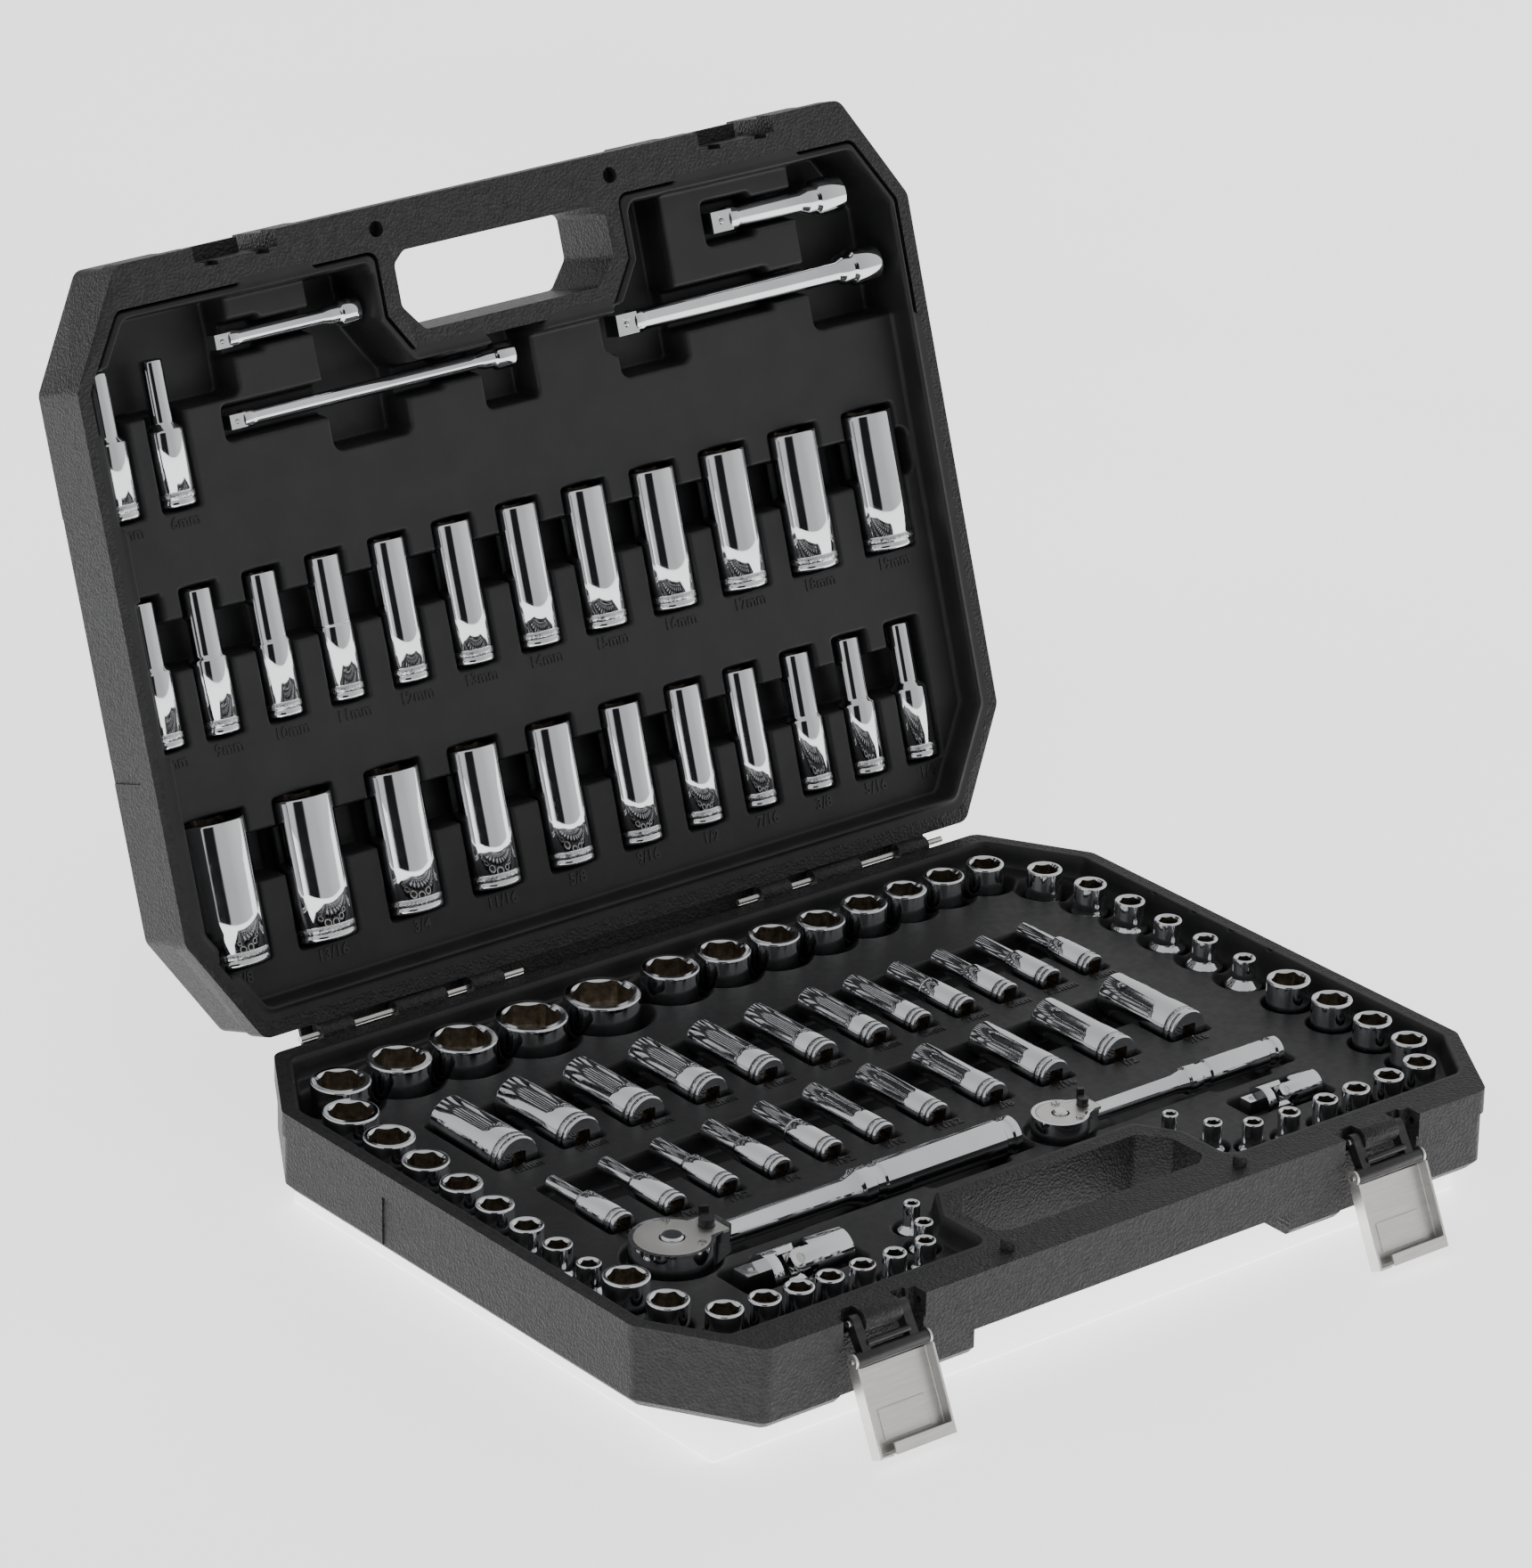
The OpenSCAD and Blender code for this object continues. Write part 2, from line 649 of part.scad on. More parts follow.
// Round body standing on its drive end
module socket_body(rh, rd, h, shoulder) {
  rotate_extrude() {
    if (rh < rd - 0.2)
      polygon([[0, 0], [rd - 0.6, 0], [rd, 0.6], [rd, 3], [rd - 0.35, 3.35], [rd - 0.35, 6.65],
        [rd, 7], [rd, shoulder], [rh, shoulder + (rd - rh) * 0.9], [rh, h - 0.5], [rh - 0.5, h], [0, h]]);
    if (rh >= rd - 0.2)
      polygon([[0, 0], [rh - 0.8, 0], [rh, 0.8], [rh, 3], [rh - 0.35, 3.35], [rh - 0.35, 6.65],
        [rh, 7], [rh, h - 0.6], [rh - 0.6, h], [0, h]]);
  }
}

module socket(af, h, sq, rh, rd, shoulder, hex_d) {
  difference() {
    socket_body(rh, rd, h, shoulder);
    translate([0, 0, h - hex_d]) cylinder(h = hex_d + 1, d = af / cos(30), $fn = 6);
    translate([0, 0, h - 0.7]) cylinder(h = 1, r1 = af / 2, r2 = af / 2 + 1.15);
    translate([-sq / 2, -sq / 2, -1]) cube([sq, sq, sq + 2]);
    translate([0, 0, sq]) cylinder(h = h - hex_d - sq + 0.2, d = min(sq, af) - 0.6);
  }
}

module short_socket_38(af) {
  h = len_38(af);
  socket(af, h, drive_38 + 0.1, od_38(af) / 2, 8.5, h * 0.5, 11);
}

module short_socket_14(af) {
  socket(af, short_14_len, drive_14 + 0.1, od_14(af) / 2, 6, short_14_len * 0.5, 10);
}

module deep_socket_38(af) {
  socket(af, deep_38_len, drive_38 + 0.1, od_38(af) / 2, 8.5, 34, 40);
}

module deep_socket_14(af) {
  socket(af, deep_14_len, drive_14 + 0.1, od_14(af) / 2, 6, 26, 30);
}

module sockets_short_38_inch() {
  color(chrome) for (s = short_38_inch)
    translate([s[1], s[2], rim_38 - len_38(s[0])]) short_socket_38(s[0]);
}

module sockets_short_38_metric() {
  color(chrome) for (s = short_38_metric)
    translate([s[1], s[2], rim_38 - len_38(s[0])]) short_socket_38(s[0]);
}

module sockets_short_14_inch() {
  color(chrome) for (s = short_14_inch)
    translate([s[1], s[2], rim_14 - short_14_len]) short_socket_14(s[0]);
}

module sockets_short_14_metric() {
  color(chrome) for (s = short_14_metric)
    translate([s[1], s[2], rim_14 - short_14_len]) short_socket_14(s[0]);
}

module sockets_deep_14_metric() {
  color(chrome) for (s = deep_14_metric)
    translate([s[1], row_a_y, row_z]) rotate([-90, 0, 0]) deep_socket_14(s[0]);
}

module sockets_deep_14_inch() {
  color(chrome) for (s = deep_14_inch)
    translate([s[1], row_b_y, row_z]) rotate([-90, 0, 0]) deep_socket_14(s[0]);
}

module lid_socket(af, x, y) {
  lid_place() translate([-x, y, lid_deck - 4]) rotate([90, 0, 0]) deep_socket_38(af);
}

module sockets_deep_38_metric() {
  color(chrome) {
    for (s = deep_38_metric)
      lid_socket(s[0], s[1], lid_row_metric_y);
    for (s = deep_38_small)
      lid_socket(s[0], s[1], lid_row_small_y);
  }
}

module sockets_deep_38_inch() {
  color(chrome) for (s = deep_38_inch)
    lid_socket(s[0], s[1], lid_row_inch_y);
}

// ---------- ratchets ----------
// Drawn round the head centre at the top of the cover, handle along +X.

module ratchet_body(hr, ht, reach, neck_r, grip_r, collar, axis_drop, gear_r, pawl_x) {
  color(chrome) difference() {
    union() {
      translate([0, 0, -ht]) cylinder(h = ht, r = hr);
      translate([0, 0, -ht]) linear_extrude(ht)
        polygon([[0, -hr * 0.97], [hr * 1.5, -neck_r * 0.9], [hr * 1.5, neck_r * 0.9], [0, hr * 0.97]]);
      translate([hr * 1.1, 0, -axis_drop]) rotate([0, 90, 0]) rotate_extrude()
        polygon([[0, 0], [neck_r, 0], [neck_r, collar - hr * 1.1 - 8],
          [grip_r - 1, collar - hr * 1.1 - 2], [grip_r, collar - hr * 1.1 - 1],
          [grip_r, collar - hr * 1.1 + 5], [grip_r - 0.8, collar - hr * 1.1 + 6],
          [grip_r - 0.8, collar - hr * 1.1 + 10], [grip_r, collar - hr * 1.1 + 11],
          [grip_r, reach - hr * 1.1 - 10], [grip_r - 0.8, reach - hr * 1.1 - 9],
          [grip_r - 0.8, reach - hr * 1.1 - 6], [grip_r, reach - hr * 1.1 - 5],
          [grip_r, reach - hr * 1.1 - 2], [grip_r - 2, reach - hr * 1.1], [0, reach - hr * 1.1]]);
    }
    translate([0, 0, -1.6]) cylinder(h = 4, r = hr - 1.8);
    translate([0, -hr * 0.45, -1.6]) cube([pawl_x + 6, hr * 0.9, 4]);
    translate([0, 0, -ht + 2]) cylinder(h = ht, r = gear_r + 0.25);
    translate([0, 0, -ht - 1]) cylinder(h = 5, r = gear_r * 0.72 + 0.2);
    translate([gear_r - 2, -gear_r * 0.55, -ht + 2.2]) cube([pawl_x - gear_r + 6.5, gear_r * 1.1, ht]);
    for (s = [-1, 1])
      rotate([0, 0, s * 62]) translate([gear_r + (hr - 1.8 - gear_r) / 2 + 0.2, 0, -6.4])
        cylinder(h = 8, r = 0.95);
  }
}

module ratchet_cover(hr, gear_r, pawl_x, lever_r, screw_r) {
  color(satin) difference() {
    union() {
      translate([0, 0, -1.5]) cylinder(h = 1.5, r = hr - 2);
      translate([0, -hr * 0.45 + 0.2, -1.5]) cube([pawl_x + 5.8, hr * 0.9 - 0.4, 1.5]);
    }
    translate([0, 0, -2]) cylinder(h = 3, r = hr * 0.3 + 0.15);
    translate([pawl_x, 0, -2]) cylinder(h = 3, r = lever_r + 0.15);
    for (s = [-1, 1])
      rotate([0, 0, s * 62]) translate([gear_r + (hr - 1.8 - gear_r) / 2 + 0.2, 0, -2])
        cylinder(h = 4, r = 1.05);
  }
}

module ratchet_screws(hr, gear_r) {
  color(steel)
    for (s = [-1, 1])
      rotate([0, 0, s * 62]) translate([gear_r + (hr - 1.8 - gear_r) / 2 + 0.2, 0, 0])
        difference() {
          union() {
            translate([0, 0, -6]) cylinder(h = 6.05, r = 0.9);
            translate([0, 0, 0.02]) cylinder(h = 0.8, r = 1.9);
          }
          translate([-3, -0.3, 0.42]) cube([6, 0.6, 1]);
        }
}

module ratchet_drive(hr, ht, gear_r, teeth, sq, sq_len, ball_r) {
  color(steel) difference() {
    union() {
      translate([0, 0, -ht + 2.2]) linear_extrude(ht - 4)
        difference() {
          circle(gear_r);
          for (i = [0:teeth - 1])
            rotate(i * 360 / teeth) translate([gear_r + 0.1, 0]) circle(r = 0.9, $fn = 3);
        }
      translate([0, 0, -ht - 1.2]) cylinder(h = 4, r = gear_r * 0.72);
      translate([-sq / 2, -sq / 2, -ht - 1.2 - sq_len]) cube([sq, sq, sq_len + 0.2]);
    }
    translate([0, 0, -ht - sq_len + 2]) cylinder(h = ht + sq_len, r = hr * 0.16 + 0.15);
    translate([0, 0, -6]) cylinder(h = 8, r = hr * 0.3 + 0.15);
    translate([0, -sq / 2 + ball_r * 0.55, -ht - sq_len * 0.6]) sphere(r = ball_r + 0.1);
  }
}

module ratchet_ball(ht, sq, sq_len, ball_r) {
  color(steel)
    translate([0, -sq / 2 + ball_r * 0.55, -ht - sq_len * 0.6]) sphere(r = ball_r);
}

module ratchet_pawl(ht, gear_r, pawl_x, lever_r) {
  color(steel)
    translate([gear_r + 0.5, -gear_r * 0.45, -ht + 2.6])
      difference() {
        cube([pawl_x - gear_r - 0.8 - lever_r * 0.62, gear_r * 0.9, ht - 5]);
        translate([-1, gear_r * 0.45 - 0.6, -1]) cube([1.8, 1.2, ht]);
      }
}

module ratchet_lever(ht, pawl_x, lever_r, tab) {
  color(lever_black)
    translate([pawl_x, 0, 0]) rotate([0, 0, 62]) {
      translate([0, 0, -ht + 2.6]) cylinder(h = ht - 2, r = lever_r * 0.62);
      translate([0, 0, -1.4]) cylinder(h = 5, r = lever_r);
      translate([0, -lever_r * 0.6, 0.4]) cube([tab, lever_r * 1.2, 2.7]);
      translate([tab - 1.6, -lever_r * 0.6, 0.4]) cube([2, lever_r * 1.2, 5.2]);
    }
}

module ratchet_button(hr, ht) {
  color(chrome) {
    translate([0, 0, -5]) cylinder(h = 5.6, r = hr * 0.3 - 0.5);
    translate([0, 0, 0.55]) cylinder(h = 0.7, r1 = hr * 0.3 - 0.5, r2 = hr * 0.3 - 1.2);
    translate([0, 0, -ht]) cylinder(h = ht - 4, r = hr * 0.16);
  }
}

module at_38() {
  translate([r38_x, r38_y, r38_top]) children();
}

module at_14() {
  translate([r14_x, r14_y, r14_top]) children();
}

module ratchet_38_body() at_38() ratchet_body(18, 13, ratchet_38_reach, 5.6, 8.5, 98, 7, 10.5, 18);
module ratchet_38_cover() at_38() ratchet_cover(18, 10.5, 18, 3.4, 1);
module ratchet_38_screws() at_38() ratchet_screws(18, 10.5);
module ratchet_38_drive() at_38() ratchet_drive(18, 13, 10.5, 36, drive_38, 11, 1.6);
module ratchet_38_pawl() at_38() ratchet_pawl(13, 10.5, 18, 3.4);
module ratchet_38_lever() at_38() ratchet_lever(13, 18, 3.4, 7.5);
module ratchet_38_button() at_38() ratchet_button(18, 13);
module ball_ratchet_38() at_38() ratchet_ball(13, drive_38, 11, 1.6);
module ratchet_14_body() at_14() ratchet_body(12.5, 10, ratchet_14_reach, 4.2, 6.2, 72, 5.5, 7, 12.6);
module ratchet_14_cover() at_14() ratchet_cover(12.5, 7, 12.6, 2.4, 1);
module ratchet_14_screws() at_14() ratchet_screws(12.5, 7);
module ratchet_14_drive() at_14() ratchet_drive(12.5, 10, 7, 24, drive_14, 8, 1.1);
module ratchet_14_pawl() at_14() ratchet_pawl(10, 7, 12.6, 2.4);
module ratchet_14_lever() at_14() ratchet_lever(10, 12.6, 2.4, 5.5);
module ratchet_14_button() at_14() ratchet_button(12.5, 10);
module ball_ratchet_14() at_14() ratchet_ball(10, drive_14, 8, 1.1);

// ---------- universal joints ----------
// Drawn round the cross centre, drive end towards -X; the pins lie at 45 degrees.

module yoke(r, body_len, pin) {
  difference() {
    union() {
      translate([r * 0.85, 0, 0]) rotate([0, 90, 0]) cylinder(h = body_len - r * 0.85, r = r);
      intersection() {
        translate([-r, 0, 0]) rotate([0, 90, 0]) cylinder(h = 2.2 * r, r = r);
        union() {
          rotate([90, 0, 0]) translate([0, 0, -r]) cylinder(h = 2 * r, r = r * 0.5);
          translate([0, -r, -r * 0.5]) cube([r * 1.1, 2 * r, r]);
        }
      }
    }
    translate([-r * 1.5, -r * 0.56, -r - 1]) cube([r * 2.6, r * 1.12, 2 * r + 2]);
    rotate([90, 0, 0]) translate([0, 0, -r - 1]) cylinder(h = 2 * r + 2, r = pin + 0.1);
  }
}

module ujoint_drive_end(r, sq, sq_len, body_len, pin) {
  color(chrome) rotate([45, 0, 0]) difference() {
    union() {
      mirror([1, 0, 0]) yoke(r, body_len, pin);
      rotate([-45, 0, 0]) translate([-body_len - sq_len, -sq / 2, -sq / 2]) cube([sq_len + 1, sq, sq]);
    }
    rotate([-45, 0, 0]) translate([-body_len - sq_len * 0.55, 0, sq / 2 - 0.6]) sphere(r = 1.5);
  }
}

module ujoint_socket_end(r, sq, body_len, pin) {
  color(chrome) rotate([-45, 0, 0]) difference() {
    yoke(r, body_len, pin);
    rotate([45, 0, 0]) translate([body_len - sq - 1.5, -sq / 2 - 0.05, -sq / 2 - 0.05])
      cube([sq + 3, sq + 0.1, sq + 0.1]);
  }
}

module ujoint_cross(r, pin) {
  color(steel) {
    rotate([45, 0, 0]) cube([r * 1.0, r * 1.0, r * 1.0], center = true);
    for (a = [45, -45])
      rotate([a, 0, 0]) rotate([90, 0, 0]) translate([0, 0, -r + 0.2]) cylinder(h = 2 * r - 0.4, r = pin);
  }
}

module ujoint_ball(body_len, sq, sq_len) {
  color(steel)
    translate([-body_len - sq_len * 0.55, 0, sq / 2 - 0.6]) sphere(r = 1.4);
}

module ujoint_38_drive_end() translate([u38_x, u38_y, u38_z]) ujoint_drive_end(9, drive_38, 11, 15, 2);
module ujoint_38_cross() translate([u38_x, u38_y, u38_z]) ujoint_cross(9, 2);
module ujoint_38_socket_end() translate([u38_x, u38_y, u38_z]) ujoint_socket_end(9, drive_38, 27, 2);
module ball_ujoint_38() translate([u38_x, u38_y, u38_z]) ujoint_ball(15, drive_38, 11);
module ujoint_14_drive_end() translate([u14_x, u14_y, u14_z]) ujoint_drive_end(6.4, drive_14, 8, 11.5, 1.5);
module ujoint_14_cross() translate([u14_x, u14_y, u14_z]) ujoint_cross(6.4, 1.5);
module ujoint_14_socket_end() translate([u14_x, u14_y, u14_z]) ujoint_socket_end(6.4, drive_14, 20, 1.5);
module ball_ujoint_14() translate([u14_x, u14_y, u14_z]) ujoint_ball(11.5, drive_14, 8);

// ---------- extension bars ----------
// Drawn along +X from the tip of the square drive.

module bar(len, sq, shaft, head, head_len, ball_r) {
  color(chrome) difference() {
    union() {
      translate([0, -sq / 2, -sq / 2]) cube([sq + 2, sq, sq]);
      rotate([0, 90, 0]) rotate_extrude()
        polygon([[0, sq + 1], [shaft + 0.7, sq + 1], [shaft + 0.7, sq + 5], [shaft, sq + 8],
          [shaft, len - head_len - 5], [head - 1.6, len - head_len - 1], [head - 1.6, len - head_len + 3],
          [head - 0.4, len - head_len + 4.2], [head, len - head_len + 5], [head, len - 0.8],
          [head - 0.8, len], [0, len]]);
    }
    translate([len - sq - 1.5, -sq / 2 - 0.05, -sq / 2 - 0.05]) cube([sq + 3, sq + 0.1, sq + 0.1]);
    translate([sq * 0.55, 0, sq / 2 - ball_r * 0.45]) sphere(r = ball_r + 0.1);
  }
}

module bar_ball(sq, ball_r) {
  color(steel)
    translate([sq * 0.55, 0, sq / 2 - ball_r * 0.45]) sphere(r = ball_r);
}

// Places a bar in the lid; x is where its square tip lies seen with the lid open
module in_lid(x, y, z) {
  lid_place() translate([-x, y, z]) rotate([0, 0, 180]) children();
}

module bar_38_long() in_lid(60, -92, bar_38_z) bar(bar_long, drive_38, 5, 8.6, 19, 1.6);
module bar_38_short() in_lid(122, -127, bar_38_z) bar(bar_short, drive_38, 5, 8.6, 19, 1.6);
module bar_14_long() in_lid(-149, -91.5, bar_14_z) bar(bar_long, drive_14, 3.4, 6.1, 14, 1.1);
module bar_14_short() in_lid(-149, -126.5, bar_14_z) bar(bar_short, drive_14, 3.4, 6.1, 14, 1.1);
module ball_bar_38_long() in_lid(60, -92, bar_38_z) bar_ball(drive_38, 1.6);
module ball_bar_38_short() in_lid(122, -127, bar_38_z) bar_ball(drive_38, 1.6);
module ball_bar_14_long() in_lid(-149, -91.5, bar_14_z) bar_ball(drive_14, 1.1);
module ball_bar_14_short() in_lid(-149, -126.5, bar_14_z) bar_ball(drive_14, 1.1);

module latch_link_left() latch_link(-latch_x);
module latch_link_right() latch_link(latch_x);
module latch_plate_left() latch_plate(-latch_x);
module latch_plate_right() latch_plate(latch_x);
module latch_pin_left() latch_pin(-latch_x);
module latch_pin_right() latch_pin(latch_x);

base_shell();
base_tray_tools_left();
base_tray_tools_right();
base_tray_corner_left();
base_tray_corner_right();
base_tray_middle_left();
base_tray_middle_right();
base_tray_back_left();
base_tray_back_right();
hinge_pins();
latch_base_pins();
lid_shell();
lid_tray();
latch_link_left();
latch_link_right();
latch_plate_left();
latch_plate_right();
latch_pin_left();
latch_pin_right();
ratchet_38_body();
ratchet_38_cover();
ratchet_38_screws();
ratchet_38_drive();
ratchet_38_pawl();
ratchet_38_lever();
ratchet_38_button();
ratchet_14_body();
ratchet_14_cover();
ratchet_14_screws();
ratchet_14_drive();
ratchet_14_pawl();
ratchet_14_lever();
ratchet_14_button();
ujoint_38_drive_end();
ujoint_38_cross();
ujoint_38_socket_end();
ujoint_14_drive_end();
ujoint_14_cross();
ujoint_14_socket_end();
bar_38_long();
bar_38_short();
bar_14_long();
bar_14_short();
ball_ratchet_38();
ball_ratchet_14();
ball_ujoint_38();
ball_ujoint_14();
ball_bar_38_long();
ball_bar_38_short();
ball_bar_14_long();
ball_bar_14_short();
sockets_short_38_inch();
sockets_short_38_metric();
sockets_short_14_inch();
sockets_short_14_metric();
sockets_deep_14_inch();
sockets_deep_14_metric();
sockets_deep_38_inch();
sockets_deep_38_metric();
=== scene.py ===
import json
import math

import bmesh
import bpy
import numpy as np
from mathutils import Matrix, Vector


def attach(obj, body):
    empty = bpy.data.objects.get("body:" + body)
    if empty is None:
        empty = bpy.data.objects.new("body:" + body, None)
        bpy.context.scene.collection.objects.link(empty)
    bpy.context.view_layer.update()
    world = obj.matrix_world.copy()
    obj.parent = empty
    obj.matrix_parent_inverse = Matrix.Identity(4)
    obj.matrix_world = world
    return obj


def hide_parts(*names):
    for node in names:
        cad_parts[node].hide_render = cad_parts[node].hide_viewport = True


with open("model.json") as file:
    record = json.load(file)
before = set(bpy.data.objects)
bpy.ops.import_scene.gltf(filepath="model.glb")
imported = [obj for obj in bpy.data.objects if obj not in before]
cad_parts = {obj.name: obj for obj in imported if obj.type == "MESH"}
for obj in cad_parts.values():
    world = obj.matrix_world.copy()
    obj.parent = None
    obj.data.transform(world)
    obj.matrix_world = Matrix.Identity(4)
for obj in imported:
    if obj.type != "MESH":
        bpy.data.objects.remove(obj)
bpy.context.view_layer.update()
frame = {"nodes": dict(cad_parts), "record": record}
NODES = frame["nodes"]
scene = bpy.context.scene


# A tray's own frame is in mm: Z out of the tray, the outer face of its half at 0 and the rim at RIM.
MM = 0.001
RIM = 38.0
RIM_GAP = 0.4
HINGE_Y = 174.1
LID_OPEN = math.radians(108)
BASE_DECK = 28
LID_DECK = 26
BASE_FRAME = Matrix.Identity(4)
LID_FRAME = (Matrix.Translation(Vector((0, HINGE_Y, RIM)))
             @ Matrix.Rotation(-LID_OPEN, 4, "X")
             @ Matrix.Translation(Vector((0, -HINGE_Y, RIM + RIM_GAP)))
             @ Matrix.Rotation(math.pi, 4, "Y"))


# ---------- small helpers ----------

def new_object(name, me):
    obj = bpy.data.objects.new(name, me)
    scene.collection.objects.link(obj)
    return obj


def mesh_points(me):
    """A mesh's vertices in mm, one row each."""
    co = np.zeros(len(me.vertices) * 3)
    me.vertices.foreach_get("co", co)
    return co.reshape(-1, 3) / MM


def to_local(points, local):
    """Points in mm, in a tray's own frame."""
    inv = np.array(local.inverted())
    return points @ inv[:3, :3].T + inv[:3, 3]


def add_node(tree, kind, ins=(), **props):
    """A shader node with its properties set and each input linked or given a value."""
    n = tree.nodes.new(kind)
    for k, v in props.items():
        setattr(n, k, v)
    for k, v in dict(ins).items():
        if isinstance(v, bpy.types.NodeSocket):
            tree.links.new(v, n.inputs[k])
        else:
            n.inputs[k].default_value = v
    return n


# ---------- camera ----------

def make_camera():
    """A long lens, high in front of the case and to its left."""
    az, el, roll = math.radians(-39.18), math.radians(23.28), math.radians(1.10)
    back = Vector((math.sin(az) * math.cos(el), -math.cos(az) * math.cos(el), math.sin(el)))
    right = Vector((0, 0, 1)).cross(back).normalized()
    up = back.cross(right)
    right2 = right * math.cos(roll) + up * math.sin(roll)
    up2 = up * math.cos(roll) - right * math.sin(roll)
    cam = bpy.data.cameras.new("camera")
    cam.sensor_fit = "HORIZONTAL"
    cam.sensor_width = 36.0
    cam.lens = 161.96
    cam.clip_end = 30
    obj = new_object("camera", cam)
    m = Matrix((right2, up2, back)).transposed().to_4x4()
    m.translation = Vector((-1.7270, -2.0385, 1.3207))
    obj.matrix_world = m
    scene.camera = obj


make_camera()


# ---------- moulded inner skins ----------

def tray_faces(nodes, local):
    """Upward facing triangles of nodes, in a tray's own frame: flat ones by height, then sloping ones."""
    flats, slopes = {}, []
    for node in nodes:
        me = NODES[node].data
        me.calc_loop_triangles()
        co = to_local(mesh_points(me), local)
        tri = np.zeros(len(me.loop_triangles) * 3, np.int32)
        me.loop_triangles.foreach_get("vertices", tri)
        p = co[tri.reshape(-1, 3)]
        n = np.cross(p[:, 1] - p[:, 0], p[:, 2] - p[:, 0])
        size = np.linalg.norm(n, axis=1)
        up = (size > 1e-9) & (n[:, 2] > 0.98 * size)
        level = np.round(p[up][:, :, 2].mean(axis=1), 2)
        for z in set(level):
            flats.setdefault(float(z), []).append(p[up][level == z][:, :, :2])
        slopes.append(p[(size > 1e-9) & (n[:, 2] > 0.25 * size) & ~up])
    return flats, np.concatenate(slopes)


def inside_mask(tris, x0, y0, step, nx, ny):
    """Grid points inside a set of triangles, by counting edge crossings along each row."""
    e = np.concatenate([tris[:, [0, 1]], tris[:, [1, 2]], tris[:, [2, 0]]])
    e = np.round(e, 4)
    swap = (e[:, 0, 1] > e[:, 1, 1]) | ((e[:, 0, 1] == e[:, 1, 1]) & (e[:, 0, 0] > e[:, 1, 0]))
    e[swap] = e[swap][:, ::-1]
    j0 = np.clip(np.ceil((e[:, 0, 1] - y0) / step).astype(int), 0, ny)
    j1 = np.clip(np.ceil((e[:, 1, 1] - y0) / step).astype(int), 0, ny)
    keep = j1 > j0
    e, j0, j1 = e[keep], j0[keep], j1[keep]
    count = j1 - j0
    which = np.repeat(np.arange(len(e)), count)
    row = np.arange(count.sum()) - np.repeat(np.cumsum(count) - count, count) + np.repeat(j0, count)
    y = y0 + row * step
    a, b = e[which, 0], e[which, 1]
    x = a[:, 0] + (y - a[:, 1]) * (b[:, 0] - a[:, 0]) / (b[:, 1] - a[:, 1])
    col = np.clip(np.ceil((x - x0) / step).astype(int), 0, nx - 1)
    grid = np.zeros((ny, nx), np.uint8)
    np.bitwise_xor.at(grid, (row, col), 1)
    return np.bitwise_xor.accumulate(grid, axis=1).astype(bool)


def blur(h, sigma):
    """A grid smoothed with a round kernel, sigma in cells."""
    r = int(math.ceil(sigma * 3))
    k = np.exp(-0.5 * (np.arange(-r, r + 1) / sigma) ** 2)
    k /= k.sum()
    for axis in (0, 1):
        pad = [(0, 0), (0, 0)]
        pad[axis] = (r, r)
        q = np.pad(h, pad, mode="edge")
        h = sum(w * np.take(q, range(i, i + h.shape[axis]), axis=axis) for i, w in enumerate(k))
    return h


